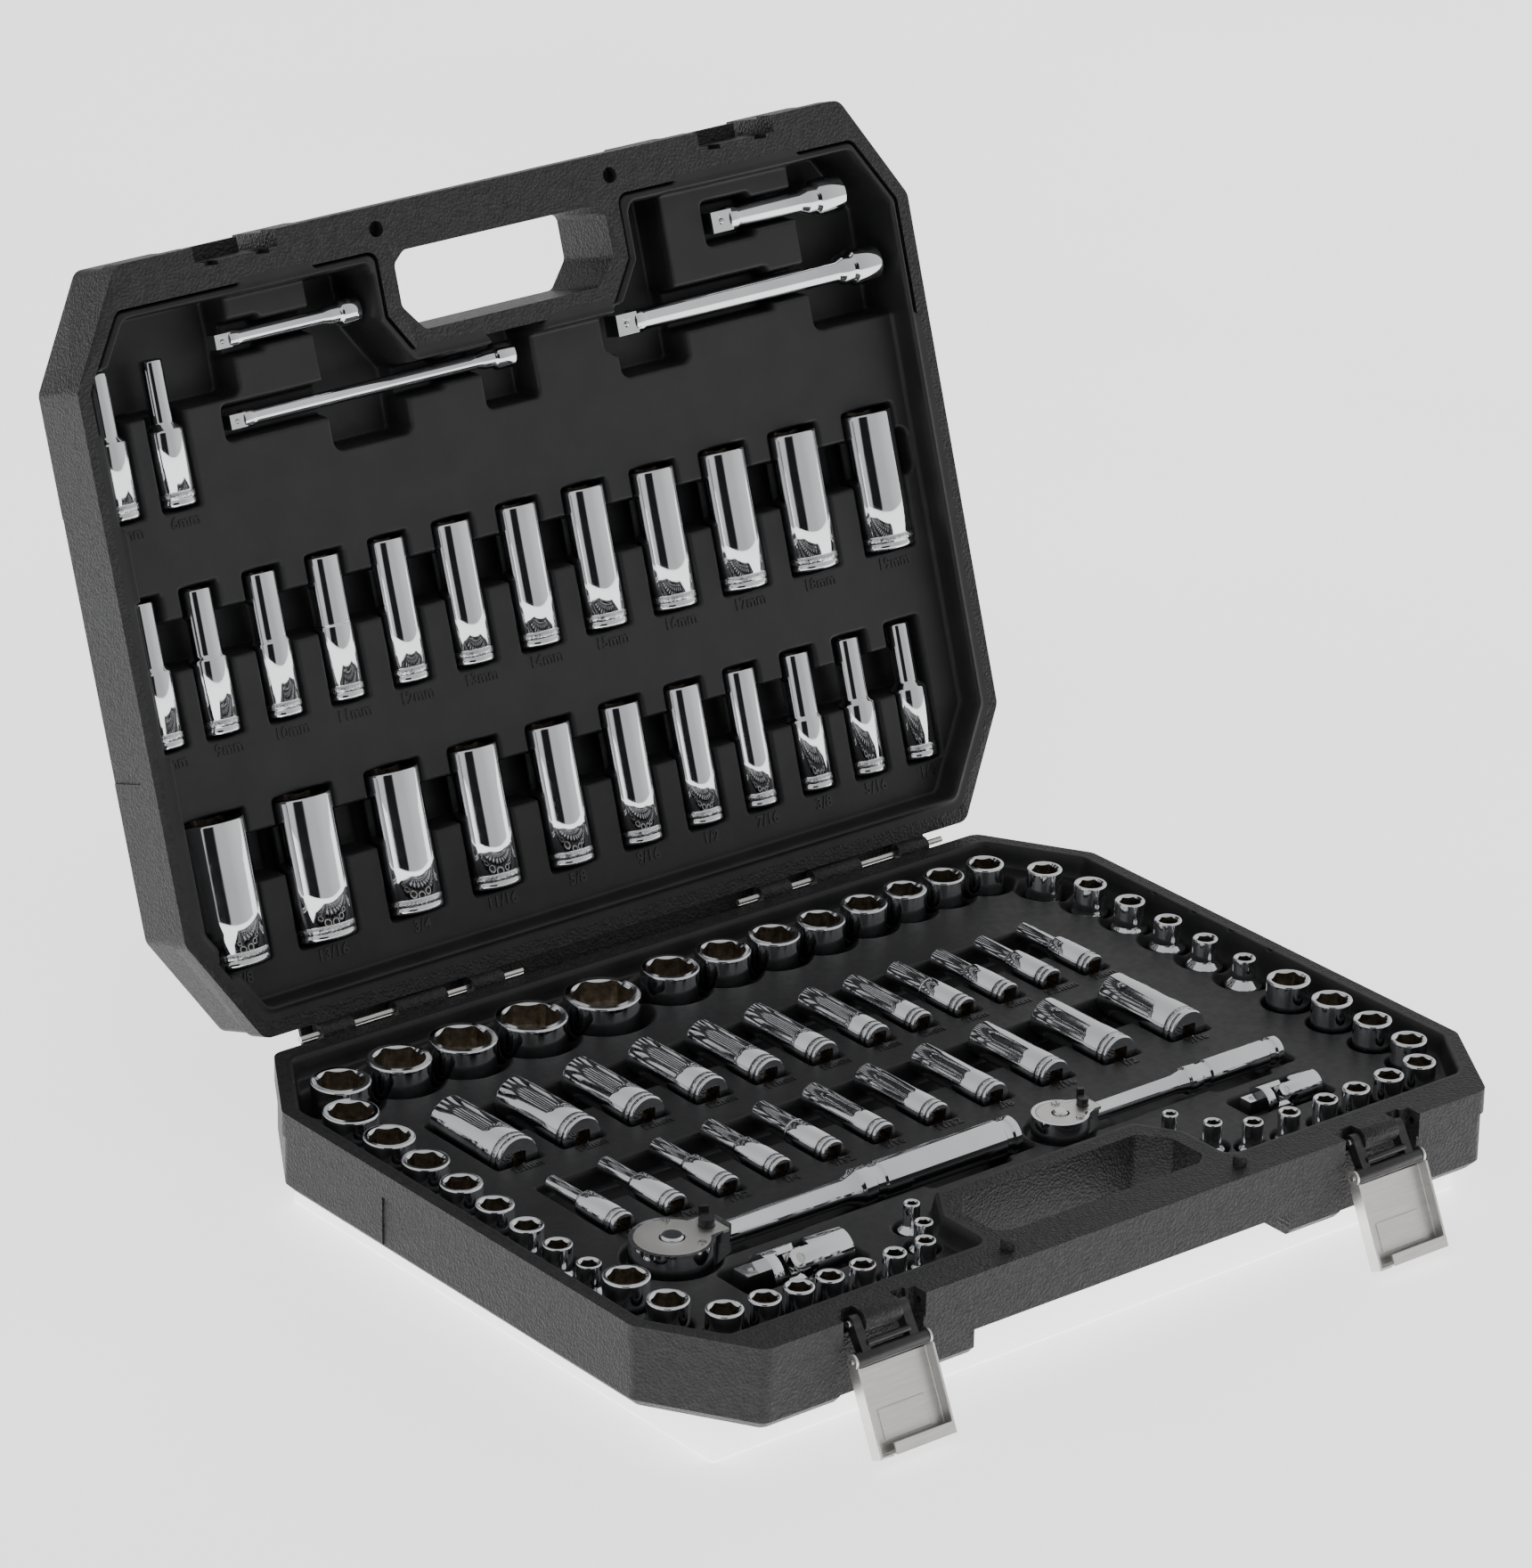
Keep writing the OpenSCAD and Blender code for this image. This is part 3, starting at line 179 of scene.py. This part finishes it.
def moulded_skin(name, nodes, body, local, low, cell=0.65, over=4, block=8):
    """One smooth skin over a tray, from its floors and slopes, with its edges softened as in a moulding."""
    x0, y0 = -226.0, -156.0
    nx, ny = int(452 / cell), int(322 / cell)
    step = cell / over
    fine = np.full((ny * over, nx * over), RIM)
    covered = np.zeros(fine.shape, bool)
    flats, slopes = tray_faces(nodes, local)
    for z in sorted(flats):
        for tris in flats[z]:
            m = inside_mask(tris, x0 + step / 2, y0 + step / 2, step, nx * over, ny * over)
            fine[m] = z
            covered |= m
    for p in slopes:
        i0, j0 = ((p[:, :2].min(axis=0) - (x0, y0)) / step - 0.5).astype(int)
        i1, j1 = ((p[:, :2].max(axis=0) - (x0, y0)) / step + 1.5).astype(int)
        gx, gy = np.meshgrid(x0 + (np.arange(i0, i1) + 0.5) * step, y0 + (np.arange(j0, j1) + 0.5) * step)
        u, v = p[1] - p[0], p[2] - p[0]
        det = u[0] * v[1] - u[1] * v[0]
        if abs(det) < 1e-9:
            continue
        a = ((gx - p[0, 0]) * v[1] - (gy - p[0, 1]) * v[0]) / det
        b = (u[0] * (gy - p[0, 1]) - u[1] * (gx - p[0, 0])) / det
        m = (a >= -0.02) & (b >= -0.02) & (a + b <= 1.02)
        fine[j0:j1, i0:i1][m] = (p[0, 2] + a * u[2] + b * v[2])[m]
        covered[j0:j1, i0:i1] |= m
    h = fine.reshape(ny, over, nx, over).mean(axis=(1, 3))
    solid = covered.reshape(ny, over, nx, over).mean(axis=(1, 3)) > 0.5
    h = blur(h, 0.62 / cell) + 0.03
    domain = blur(solid.astype(float), 1.2 / cell) > 0.02
    # grid points and the cells between them
    ys, xs = np.mgrid[0:ny, 0:nx].reshape(2, -1)
    cells = domain[:-1, :-1] & domain[1:, :-1] & domain[:-1, 1:] & domain[1:, 1:]
    used = np.zeros(ny * nx, bool)
    ngons = []
    quad = cells.copy()
    for j in range(1, ny - block - 2, block):
        for i in range(1, nx - block - 2, block):
            if not cells[j - 1:j + block + 1, i - 1:i + block + 1].all():
                continue
            part = h[j - 1:j + block + 2, i - 1:i + block + 2]
            if part.max() - part.min() > 1e-4:
                continue
            quad[j:j + block, i:i + block] = False
            ring = ([(j, i + k) for k in range(block)]
                    + [(j + k, i + block) for k in range(block)]
                    + [(j + block, i + block - k) for k in range(block)]
                    + [(j + block - k, i) for k in range(block)])
            ngons.append([r * nx + c for r, c in ring])
    qj, qi = np.nonzero(quad)
    quads = np.stack([qj * nx + qi, qj * nx + qi + 1, (qj + 1) * nx + qi + 1, (qj + 1) * nx + qi], axis=1)
    used[quads.ravel()] = True
    for ring in ngons:
        used[ring] = True
    index = np.cumsum(used) - 1
    pts = np.stack([x0 + (xs[used] + 0.5) * cell, y0 + (ys[used] + 0.5) * cell, h.ravel()[used]], axis=1)
    m = np.array(local)
    world = (pts @ m[:3, :3].T + m[:3, 3]) * MM
    faces = index[quads].tolist() + [index[ring].tolist() for ring in ngons]
    me = bpy.data.meshes.new(name)
    me.from_pydata(world.tolist(), [], faces)
    bm = bmesh.new()
    bm.from_mesh(me)
    for f in bm.faces:
        f.smooth = True
    rim = [e for e in bm.edges if e.is_boundary]
    made = bmesh.ops.extrude_edge_only(bm, edges=rim)
    down = local.to_3x3() @ Vector((0, 0, 1))
    new = [g for g in made["geom"] if isinstance(g, bmesh.types.BMVert)]
    base = local @ Vector((0, 0, low))
    for v in new:
        v.co -= down * ((v.co - base * MM).dot(down))
    for e in rim:
        e.smooth = False
    for g in made["geom"]:
        if isinstance(g, bmesh.types.BMFace):
            g.smooth = False
    ends = [e for e in bm.edges if e.is_boundary]
    bmesh.ops.edgeloop_fill(bm, edges=ends)
    bmesh.ops.recalc_face_normals(bm, faces=bm.faces)
    bm.to_mesh(me)
    bm.free()
    obj = new_object(name, me)
    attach(obj, body)
    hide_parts(*nodes)
    return obj


# ---------- materials ----------

class Mat:
    """Small helper for writing a node material."""

    def __init__(self, name):
        self.m = bpy.data.materials.new(name)
        self.m.use_nodes = True
        self.t = self.m.node_tree
        self.b = self.t.nodes["Principled BSDF"]
        self.pos = self.t.nodes.new("ShaderNodeTexCoord").outputs["Object"]
        self.last = None

    def node(self, kind, ins):
        return add_node(self.t, kind, ins)

    def scaled(self, x, y, z):
        return self.node("ShaderNodeMapping", {"Vector": self.pos, "Scale": (x, y, z)}).outputs[0]

    def noise(self, scale, detail=3.0, vector=None, rough=0.5):
        return self.node("ShaderNodeTexNoise", {"Vector": vector or self.pos, "Scale": scale,
                                                "Detail": detail, "Roughness": rough}).outputs["Fac"]

    def cells(self, scale):
        return self.node("ShaderNodeTexVoronoi", {"Vector": self.pos, "Scale": scale}).outputs["Distance"]

    def range(self, value, lo, hi, a=0.3, b=0.7):
        return self.node("ShaderNodeMapRange", {"Value": value, "From Min": a, "From Max": b,
                                                "To Min": lo, "To Max": hi}).outputs[0]

    def ramp(self, value, c0, c1, a=0.3, b=0.7):
        n = self.node("ShaderNodeValToRGB", {"Fac": value})
        n.color_ramp.elements[0].position = a
        n.color_ramp.elements[1].position = b
        n.color_ramp.elements[0].color = (*c0, 1)
        n.color_ramp.elements[1].color = (*c1, 1)
        return n.outputs["Color"]

    def bump(self, height, strength, distance):
        n = self.node("ShaderNodeBump", {"Height": height, "Strength": strength, "Distance": distance})
        if self.last is not None:
            self.t.links.new(self.last, n.inputs["Normal"])
        self.last = n.outputs[0]
        self.t.links.new(self.last, self.b.inputs["Normal"])

    def set(self, name, value):
        if isinstance(value, bpy.types.NodeSocket):
            self.t.links.new(value, self.b.inputs[name])
        else:
            self.b.inputs[name].default_value = value


def make_case():
    m = Mat("case_plastic")
    m.set("Base Color", m.ramp(m.noise(240, 4), (0.008, 0.008, 0.0085), (0.018, 0.018, 0.019)))
    m.set("Roughness", m.range(m.noise(900, 3), 0.42, 0.58))
    m.set("Specular IOR Level", 0.36)
    m.bump(m.cells(760), 0.6, 0.0006)
    m.bump(m.noise(70, 2), 0.05, 0.002)
    return m.m


def make_tray():
    m = Mat("tray_plastic")
    m.set("Base Color", m.ramp(m.noise(60, 4), (0.011, 0.011, 0.012), (0.016, 0.016, 0.017)))
    m.set("Roughness", m.range(m.noise(300, 4), 0.40, 0.50))
    m.set("Specular IOR Level", 0.34)
    m.bump(m.noise(2600, 2), 0.10, 0.00015)
    m.bump(m.noise(38, 2), 0.06, 0.0015)
    return m.m


def make_chrome():
    m = Mat("chrome")
    tint = (0.80, 0.81, 0.83)
    dark = tuple(c * 0.9 for c in tint)
    m.set("Base Color", m.ramp(m.noise(35, 3), dark, tint))
    m.set("Metallic", 1.0)
    m.set("Roughness", m.range(m.noise(160, 6, rough=0.7), 0.035, 0.10))
    m.bump(m.noise(120, 3), 0.035, 0.0006)
    return m.m


def make_bore():
    m = Mat("chrome_bore")
    m.set("Base Color", m.ramp(m.noise(300, 4), (0.20, 0.165, 0.12), (0.46, 0.42, 0.36)))
    m.set("Metallic", 1.0)
    m.set("Roughness", m.range(m.noise(800, 3), 0.24, 0.42))
    m.bump(m.noise(1500, 3), 0.15, 0.0002)
    return m.m


def make_band():
    m = Mat("chrome_etched")
    m.set("Base Color", m.ramp(m.noise(700, 2), (0.42, 0.42, 0.43), (0.74, 0.75, 0.77)))
    m.set("Metallic", 1.0)
    m.set("Roughness", m.range(m.noise(900, 2), 0.18, 0.38))
    m.bump(m.cells(900), 0.5, 0.0003)
    return m.m


def make_steel():
    m = Mat("steel")
    m.set("Base Color", m.ramp(m.noise(90, 4), (0.50, 0.49, 0.47), (0.66, 0.65, 0.63)))
    m.set("Metallic", 1.0)
    m.set("Roughness", m.range(m.noise(500, 4), 0.18, 0.32))
    m.bump(m.noise(700, 3), 0.08, 0.0002)
    return m.m


def make_satin():
    m = Mat("satin_steel")
    streak = m.scaled(60, 60, 1800)
    m.set("Base Color", m.ramp(m.noise(1.0, 4, streak), (0.66, 0.65, 0.63), (0.76, 0.75, 0.73)))
    m.set("Metallic", 1.0)
    m.set("Roughness", m.range(m.noise(1.0, 4, streak), 0.30, 0.40))
    m.bump(m.noise(1.0, 3, streak), 0.03, 0.0002)
    return m.m


def make_lever():
    m = Mat("lever_plastic")
    m.set("Base Color", m.ramp(m.noise(200, 3), (0.008, 0.008, 0.009), (0.018, 0.018, 0.019)))
    m.set("Roughness", m.range(m.noise(300, 4), 0.26, 0.40))
    m.bump(m.noise(1800, 2), 0.12, 0.0002)
    return m.m


def make_label():
    m = Mat("size_mark")
    m.set("Base Color", m.ramp(m.noise(400, 3), (0.002, 0.002, 0.002), (0.005, 0.005, 0.005)))
    m.set("Roughness", m.range(m.noise(300, 3), 0.22, 0.34))
    m.bump(m.noise(1500, 2), 0.08, 0.0001)
    return m.m


def make_floor():
    m = Mat("studio_white")
    tone = m.ramp(m.noise(3, 2), (0.90, 0.90, 0.90), (0.93, 0.93, 0.93))
    m.set("Base Color", tone)
    m.set("Emission Color", tone)
    m.set("Emission Strength", 1.6)
    m.set("Roughness", m.range(m.noise(12, 2), 0.5, 0.6))
    return m.m


LOOK = {"case_plastic": make_case(), "tray_plastic": make_tray(), "chrome": make_chrome(),
        "steel": make_steel(), "satin_steel": make_satin(), "lever_plastic": make_lever()}
BORE, BAND, MARK = make_bore(), make_band(), make_label()
SLOT = {p["node"]: p["material_slot"] for p in frame["record"]["subparts"]}
BODY = {n: b for b, names in frame["record"]["behaviour"]["bodies"].items() for n in names}
for name, obj in NODES.items():
    obj.data.materials.clear()
    obj.data.materials.append(LOOK[SLOT[name]])


# ---------- moulded trays ----------

BASE_TRAYS = [n for n in NODES if n.startswith("base_tray")]
SKIN_LOW = 3.3
base_skin = moulded_skin("base_tray_skin", BASE_TRAYS, "base", BASE_FRAME, SKIN_LOW)
lid_skin = moulded_skin("lid_tray_skin", ["lid_tray"], "lid", LID_FRAME, SKIN_LOW)
for skin in (base_skin, lid_skin):
    skin.data.materials.append(LOOK["tray_plastic"])


# ---------- softened edges on the CAD pieces ----------

def soften(obj, width, angle, segments=2):
    """Rounded edges, the width in mm, wherever faces meet at more than an angle in degrees."""
    w = obj.modifiers.new("join", "WELD")
    w.merge_threshold = 0.00001
    b = obj.modifiers.new("edges", "BEVEL")
    b.width = width * MM
    b.segments = segments
    b.limit_method = "ANGLE"
    b.angle_limit = math.radians(angle)
    b.harden_normals = False
    b.use_clamp_overlap = True


# ---------- sockets ----------

# Across flats = (hex end diameter - WALL) / HEX_CORNERS; drive square in mm. Small is the 1/4 inch drive.
HEX_CORNERS = 1.25
WALL = {True: 2.2, False: 2.8}
DRIVE = {True: 6.45, False: 9.6}
HEX_END = 0.8


def across_flats(hex_end_radius, small):
    return (2 * hex_end_radius - WALL[small]) / HEX_CORNERS


def loose_parts(node):
    """Points of each separate solid of a node, in mm."""
    me = NODES[node].data
    co = mesh_points(me)
    _, where = np.unique(np.round(co, 3), axis=0, return_inverse=True)
    where = where.ravel()
    parent = list(range(where.max() + 1))

    def root(i):
        while parent[i] != i:
            parent[i] = parent[parent[i]]
            i = parent[i]
        return i

    for p in me.polygons:
        r = root(where[p.vertices[0]])
        for v in p.vertices[1:]:
            q = root(where[v])
            if q != r:
                parent[q] = r
    groups = {}
    for i in range(len(co)):
        groups.setdefault(root(where[i]), []).append(i)
    return [co[g] for g in groups.values()]


def hex_radius(af, t):
    """Distance from the axis to a hex of width af at an angle, with its corners cut off."""
    a = (t + math.pi / 6) % (math.pi / 3) - math.pi / 6
    return min(af / 2 / math.cos(a), af / 2 * 1.115)


def square_radius(sq, t):
    """Distance from the axis to a square of width sq at an angle."""
    a = (t + math.pi / 4) % (math.pi / 2) - math.pi / 4
    return sq / 2 / math.cos(a)


def grooves(r):
    """Outline of the drive collar: two grooves with the etched band between them."""
    return [(r, 2.6), (r - 0.3, 2.85), (r - 0.3, 3.25), (r, 3.5),
            (r, 6.0), (r - 0.3, 6.25), (r - 0.3, 6.65), (r, 6.9)]


def add_socket(bm, place, length, rh, rd, af, sq, deep, taper):
    """One socket standing on its drive end along +Z in mm, placed by a matrix.

    rh and rd are the radii of the hex end and the drive end.
    """
    count = 60
    angles = [2 * math.pi * i / count for i in range(count)]

    def ring(radius, z):
        pts = []
        for t in angles:
            r = radius(t) if callable(radius) else radius
            h = z(t) if callable(z) else z
            pts.append(bm.verts.new(place @ Vector((r * math.cos(t), r * math.sin(t), h)) * MM))
        return pts

    def skin(a, b, mat, smooth=True):
        for i in range(count):
            j = (i + 1) % count
            f = bm.faces.new((a[i], a[j], b[j], b[i]))
            f.material_index = mat
            f.smooth = smooth

    e = 0.02
    ro = rh - e
    rb = min(rd, rh) - e if taper else max(rd, rh) - e
    if rh < rd - 0.2:
        step = (rd - rh) * 0.9
        up = length * (0.52 if deep else 0.5)
        foot = [(rb - 0.7, e), (rb - 0.22, 0.24), (rb, 0.75)]
        body = [(rb, up - 0.8), (rb - 0.12, up - 0.1), (rb - 0.5, up + 0.35),
                (ro + 0.35, up + step - 0.2), (ro + 0.05, up + step + 0.4), (ro, up + step + 1),
                (ro, length - 0.75), (ro - 0.15, length - 0.3), (ro - 0.5, length - e)]
        outer = foot + grooves(rb) + body
    else:
        bend = length * (0.34 if deep else 0.6)
        rt = rb if taper else ro
        foot = [(rt - 0.8, e), (rt - 0.25, 0.25), (rt, 0.8)]
        body = [(rt, bend), (rt + 0.05 * (ro - rt), bend + 1),
                (ro - 0.05 * (ro - rt), length * 0.72 - 1), (ro, length * 0.72), (ro, length - 1.1),
                (ro - 0.12, length - 0.5), (ro - 0.4, length - 0.12), (ro - 0.8, length - e)]
        outer = foot + grooves(rt) + body
    rows = [ring(r, z) for r, z in outer]
    for k in range(len(rows) - 1):
        band = 3.4 < outer[k][1] and outer[k + 1][1] < 6.1
        skin(rows[k], rows[k + 1], 2 if band else 0)
    lip = min(af / 2 + 1.25, outer[-1][0] - 0.25)
    top = ring(lip, length - e)
    skin(rows[-1], top, 0, False)
    slope = 0.75
    mouth = ring(lambda t: min(hex_radius(af, t), lip - 0.05),
                 lambda t: length - e - (lip - min(hex_radius(af, t), lip - 0.05)) * slope)
    skin(top, mouth, 0, False)
    floor_z = length - (min(length - sq - 3, 24) if deep else 10.0)
    wall = ring(lambda t: min(hex_radius(af, t), lip - 0.05), floor_z)
    skin(mouth, wall, 1, False)
    hole = min(sq * 0.46, af * 0.42)
    ledge = ring(hole, floor_z - 0.6)
    skin(wall, ledge, 1, False)
    well = ring(hole, sq + 0.6)
    skin(ledge, well, 1)
    sq_top = ring(lambda t: max(square_radius(sq, t), hole), sq + 0.55) if hole < sq / 2 else None
    skin(well, sq_top, 1, False)
    sq_low = ring(lambda t: square_radius(sq, t), 0.8)
    skin(sq_top, sq_low, 1, False)
    cham = ring(lambda t: min(square_radius(sq, t) + 0.55, outer[0][0] - 0.2), e)
    skin(sq_low, cham, 0, False)
    skin(cham, rows[0], 0, False)


def socket_set(name, node, frame_matrix, along, small, deep):
    """Detailed sockets in a node's places, all in one piece; along points from drive end to hex end."""
    bm = bmesh.new()
    for pts in loose_parts(node):
        q = to_local(pts, frame_matrix)
        lo, hi = q.min(axis=0), q.max(axis=0)
        mid = (lo + hi) / 2
        if along == "z":
            axial, ends = q[:, 2], (lo[2], hi[2])
            radial = np.hypot(q[:, 0] - mid[0], q[:, 1] - mid[1])
            place = frame_matrix @ Matrix.Translation(Vector((mid[0], mid[1], lo[2])))
        elif along == "y":
            axial, ends = q[:, 1], (lo[1], hi[1])
            radial = np.hypot(q[:, 0] - mid[0], q[:, 2] - mid[2])
            place = (frame_matrix @ Matrix.Translation(Vector((mid[0], lo[1], mid[2])))
                     @ Matrix.Rotation(-math.pi / 2, 4, "X"))
        else:
            axial, ends = -q[:, 1], (-hi[1], -lo[1])
            radial = np.hypot(q[:, 0] - mid[0], q[:, 2] - mid[2])
            place = (frame_matrix @ Matrix.Translation(Vector((mid[0], hi[1], mid[2])))
                     @ Matrix.Rotation(math.pi / 2, 4, "X"))
        length = ends[1] - ends[0]
        rh = radial[axial > ends[1] - HEX_END].max()
        rd = radial[(axial < ends[0] + 2.9) & (axial > ends[0] + 0.3)].max()
        taper = small and deep and rh > 7.2
        add_socket(bm, place, length, rh, rd, across_flats(rh, small), DRIVE[small], deep, taper)
    bmesh.ops.recalc_face_normals(bm, faces=bm.faces)
    me = bpy.data.meshes.new(name)
    bm.to_mesh(me)
    bm.free()
    obj = new_object(name, me)
    for mat in (LOOK["chrome"], BORE, BAND):
        me.materials.append(mat)
    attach(obj, BODY[node])
    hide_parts(node)


for kind, small in (("38", False), ("14", True)):
    for unit in ("inch", "metric"):
        node = "sockets_short_%s_%s" % (kind, unit)
        socket_set(node + "_detail", node, BASE_FRAME, "z", small, False)
for unit in ("inch", "metric"):
    node = "sockets_deep_14_" + unit
    socket_set(node + "_detail", node, BASE_FRAME, "y", True, True)
    node = "sockets_deep_38_" + unit
    socket_set(node + "_detail", node, LID_FRAME, "-y", False, True)


# ---------- size marks beside the pockets ----------

def size_text(af, metric):
    """A socket's size to the nearest half millimetre, or as a fraction of an inch in lowest terms."""
    if metric:
        return "%gmm" % (round(af * 2) / 2)
    parts = round(af / 25.4 * 32)
    common = math.gcd(parts, 32)
    return "%d/%d" % (parts // common, 32 // common)


def row_places(node, local):
    """Middle, hex end radius and drive end position of each lying socket, in a tray's own frame."""
    lid = local is LID_FRAME
    for pts in loose_parts(node):
        q = to_local(pts, local)
        lo, hi = q.min(axis=0), q.max(axis=0)
        mid = (lo + hi) / 2
        hex_end = q[:, 1] < lo[1] + HEX_END if lid else q[:, 1] > hi[1] - HEX_END
        radial = np.hypot(q[:, 0] - mid[0], q[:, 2] - mid[2])
        yield mid[0], radial[hex_end].max(), hi[1] if lid else lo[1]


def size_marks(name, body, local, rows, small, deck, height, off, turn):
    """Raised size figures on a deck in front of the drive ends, joined into one piece."""
    bm = bmesh.new()
    for node, metric in rows:
        for x, rh, y in row_places(node, local):
            curve = bpy.data.curves.new("mark", "FONT")
            curve.body = size_text(across_flats(rh, small), metric)
            curve.align_x = "CENTER"
            curve.align_y = "CENTER"
            curve.size = height
            curve.offset = 0.11
            curve.extrude = 0.3
            curve.resolution_u = 3
            tmp = new_object("mark", curve)
            me = bpy.data.meshes.new_from_object(tmp)
            spot = Matrix.Translation(Vector((x, y + off, deck + 0.12)))
            me.transform(Matrix.Scale(MM, 4) @ (local @ spot @ Matrix.Rotation(turn, 4, "Z")))
            bm.from_mesh(me)
            bpy.data.objects.remove(tmp)
            bpy.data.curves.remove(curve)
            bpy.data.meshes.remove(me)
    bmesh.ops.remove_doubles(bm, verts=bm.verts, dist=1e-6)
    bmesh.ops.recalc_face_normals(bm, faces=bm.faces)
    me = bpy.data.meshes.new(name)
    bm.to_mesh(me)
    bm.free()
    me.materials.append(MARK)
    obj = new_object(name, me)
    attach(obj, body)


size_marks("base_size_marks", "base", BASE_FRAME,
           [("sockets_deep_14_metric", True), ("sockets_deep_14_inch", False)],
           True, BASE_DECK, 6.4, -6.0, 0)
size_marks("lid_size_marks", "lid", LID_FRAME,
           [("sockets_deep_38_metric", True), ("sockets_deep_38_inch", False)],
           False, LID_DECK, 7.4, 7.0, math.pi)


# ---------- edges ----------

for name, obj in NODES.items():
    if name.startswith(("sockets_", "base_tray", "lid_tray")):
        continue
    if "shell" in name:
        soften(obj, 0.7, 32)
    elif name.startswith("ratchet") and name.endswith("_body"):
        soften(obj, 0.9, 32, 3)
    elif name.startswith("latch_plate"):
        soften(obj, 0.28, 32)
    elif name.startswith(("latch_link", "ujoint", "bar_")):
        soften(obj, 0.35, 30)
    elif not name.startswith("ball"):
        soften(obj, 0.15, 32)


# ---------- studio ----------

def area(name, loc, target, size, power):
    light = bpy.data.lights.new(name, "AREA")
    light.shape = "RECTANGLE"
    light.size, light.size_y = size
    light.energy = power
    obj = new_object(name, light)
    obj.location = loc
    obj.rotation_euler = (Vector(target) - Vector(loc)).to_track_quat("-Z", "Y").to_euler()
    return obj


def stage_mesh(name, verts, faces, mat):
    me = bpy.data.meshes.new(name)
    me.from_pydata(verts, [], faces)
    me.materials.append(mat)
    new_object(name, me)


WHITE = make_floor()
FLOOR_Z = -0.021


def rectangle(half_x, half_y, z):
    return [(-half_x, -half_y, z), (half_x, -half_y, z), (half_x, half_y, z), (-half_x, half_y, z)]


# the latches hang below the case, so it stands on a low plinth
stage_mesh("floor", rectangle(6, 6, FLOOR_Z), [(0, 1, 2, 3)], WHITE)
plinth = rectangle(0.205, 0.145, FLOOR_Z + 0.0001) + rectangle(0.205, 0.145, -0.0002)
stage_mesh("plinth", plinth, [(4, 5, 6, 7), (0, 1, 5, 4), (1, 2, 6, 5), (2, 3, 7, 6), (3, 0, 4, 7)], WHITE)

# a white room all round, with a dark gap on the viewer's side
world = bpy.data.worlds.new("studio")
world.use_nodes = True
wt = world.node_tree


def wnode(kind, ins=(), **props):
    return add_node(wt, kind, ins, **props)


direction = wt.nodes.new("ShaderNodeTexCoord").outputs["Generated"]
part = wnode("ShaderNodeSeparateXYZ", {0: direction}).outputs
flat = wnode("ShaderNodeVectorMath", {0: direction, 1: (1, 1, 0)}, operation="MULTIPLY").outputs[0]
unit = wnode("ShaderNodeVectorMath", {0: flat}, operation="NORMALIZE").outputs[0]
GAP_DIRECTION = (-0.645, -0.764, 0)
facing = wnode("ShaderNodeVectorMath", {0: unit, 1: GAP_DIRECTION}, operation="DOT_PRODUCT").outputs["Value"]
gap = wnode("ShaderNodeMapRange", {"Value": facing, "From Min": 0.935, "From Max": 0.965}).outputs[0]
low = wnode("ShaderNodeMapRange", {"Value": part[2], "From Min": 0.62, "From Max": 0.50}).outputs[0]
dark = wnode("ShaderNodeMath", {0: gap, 1: low}, operation="MULTIPLY").outputs[0]
side = wt.nodes.new("ShaderNodeValToRGB")
wt.links.new(wnode("ShaderNodeMapRange", {"Value": part[0], "From Min": -1.0, "From Max": 1.0}).outputs[0],
             side.inputs["Fac"])
side.color_ramp.elements[0].color = (0.74, 0.74, 0.74, 1)
side.color_ramp.elements[1].color = (0.90, 0.90, 0.90, 1)
for at, v in ((0.35, 0.60), (0.62, 0.62)):
    side.color_ramp.elements.new(at).color = (v, v, v, 1)
GAP_TONE = (0.015, 0.015, 0.016, 1)
tone = wnode("ShaderNodeMix", {0: dark, 6: side.outputs["Color"], 7: GAP_TONE}, data_type="RGBA")
wt.links.new(tone.outputs[2], wt.nodes["Background"].inputs[0])
wt.nodes["Background"].inputs[1].default_value = 1.0
scene.world = world
for light in (area("key", (-1.1, -1.0, 2.0), (0, 0, 0.05), (1.0, 0.8), 10),
              area("side", (1.9, 0.6, 1.5), (0, 0, 0.1), (1.0, 1.3), 9)):
    light.visible_glossy = False
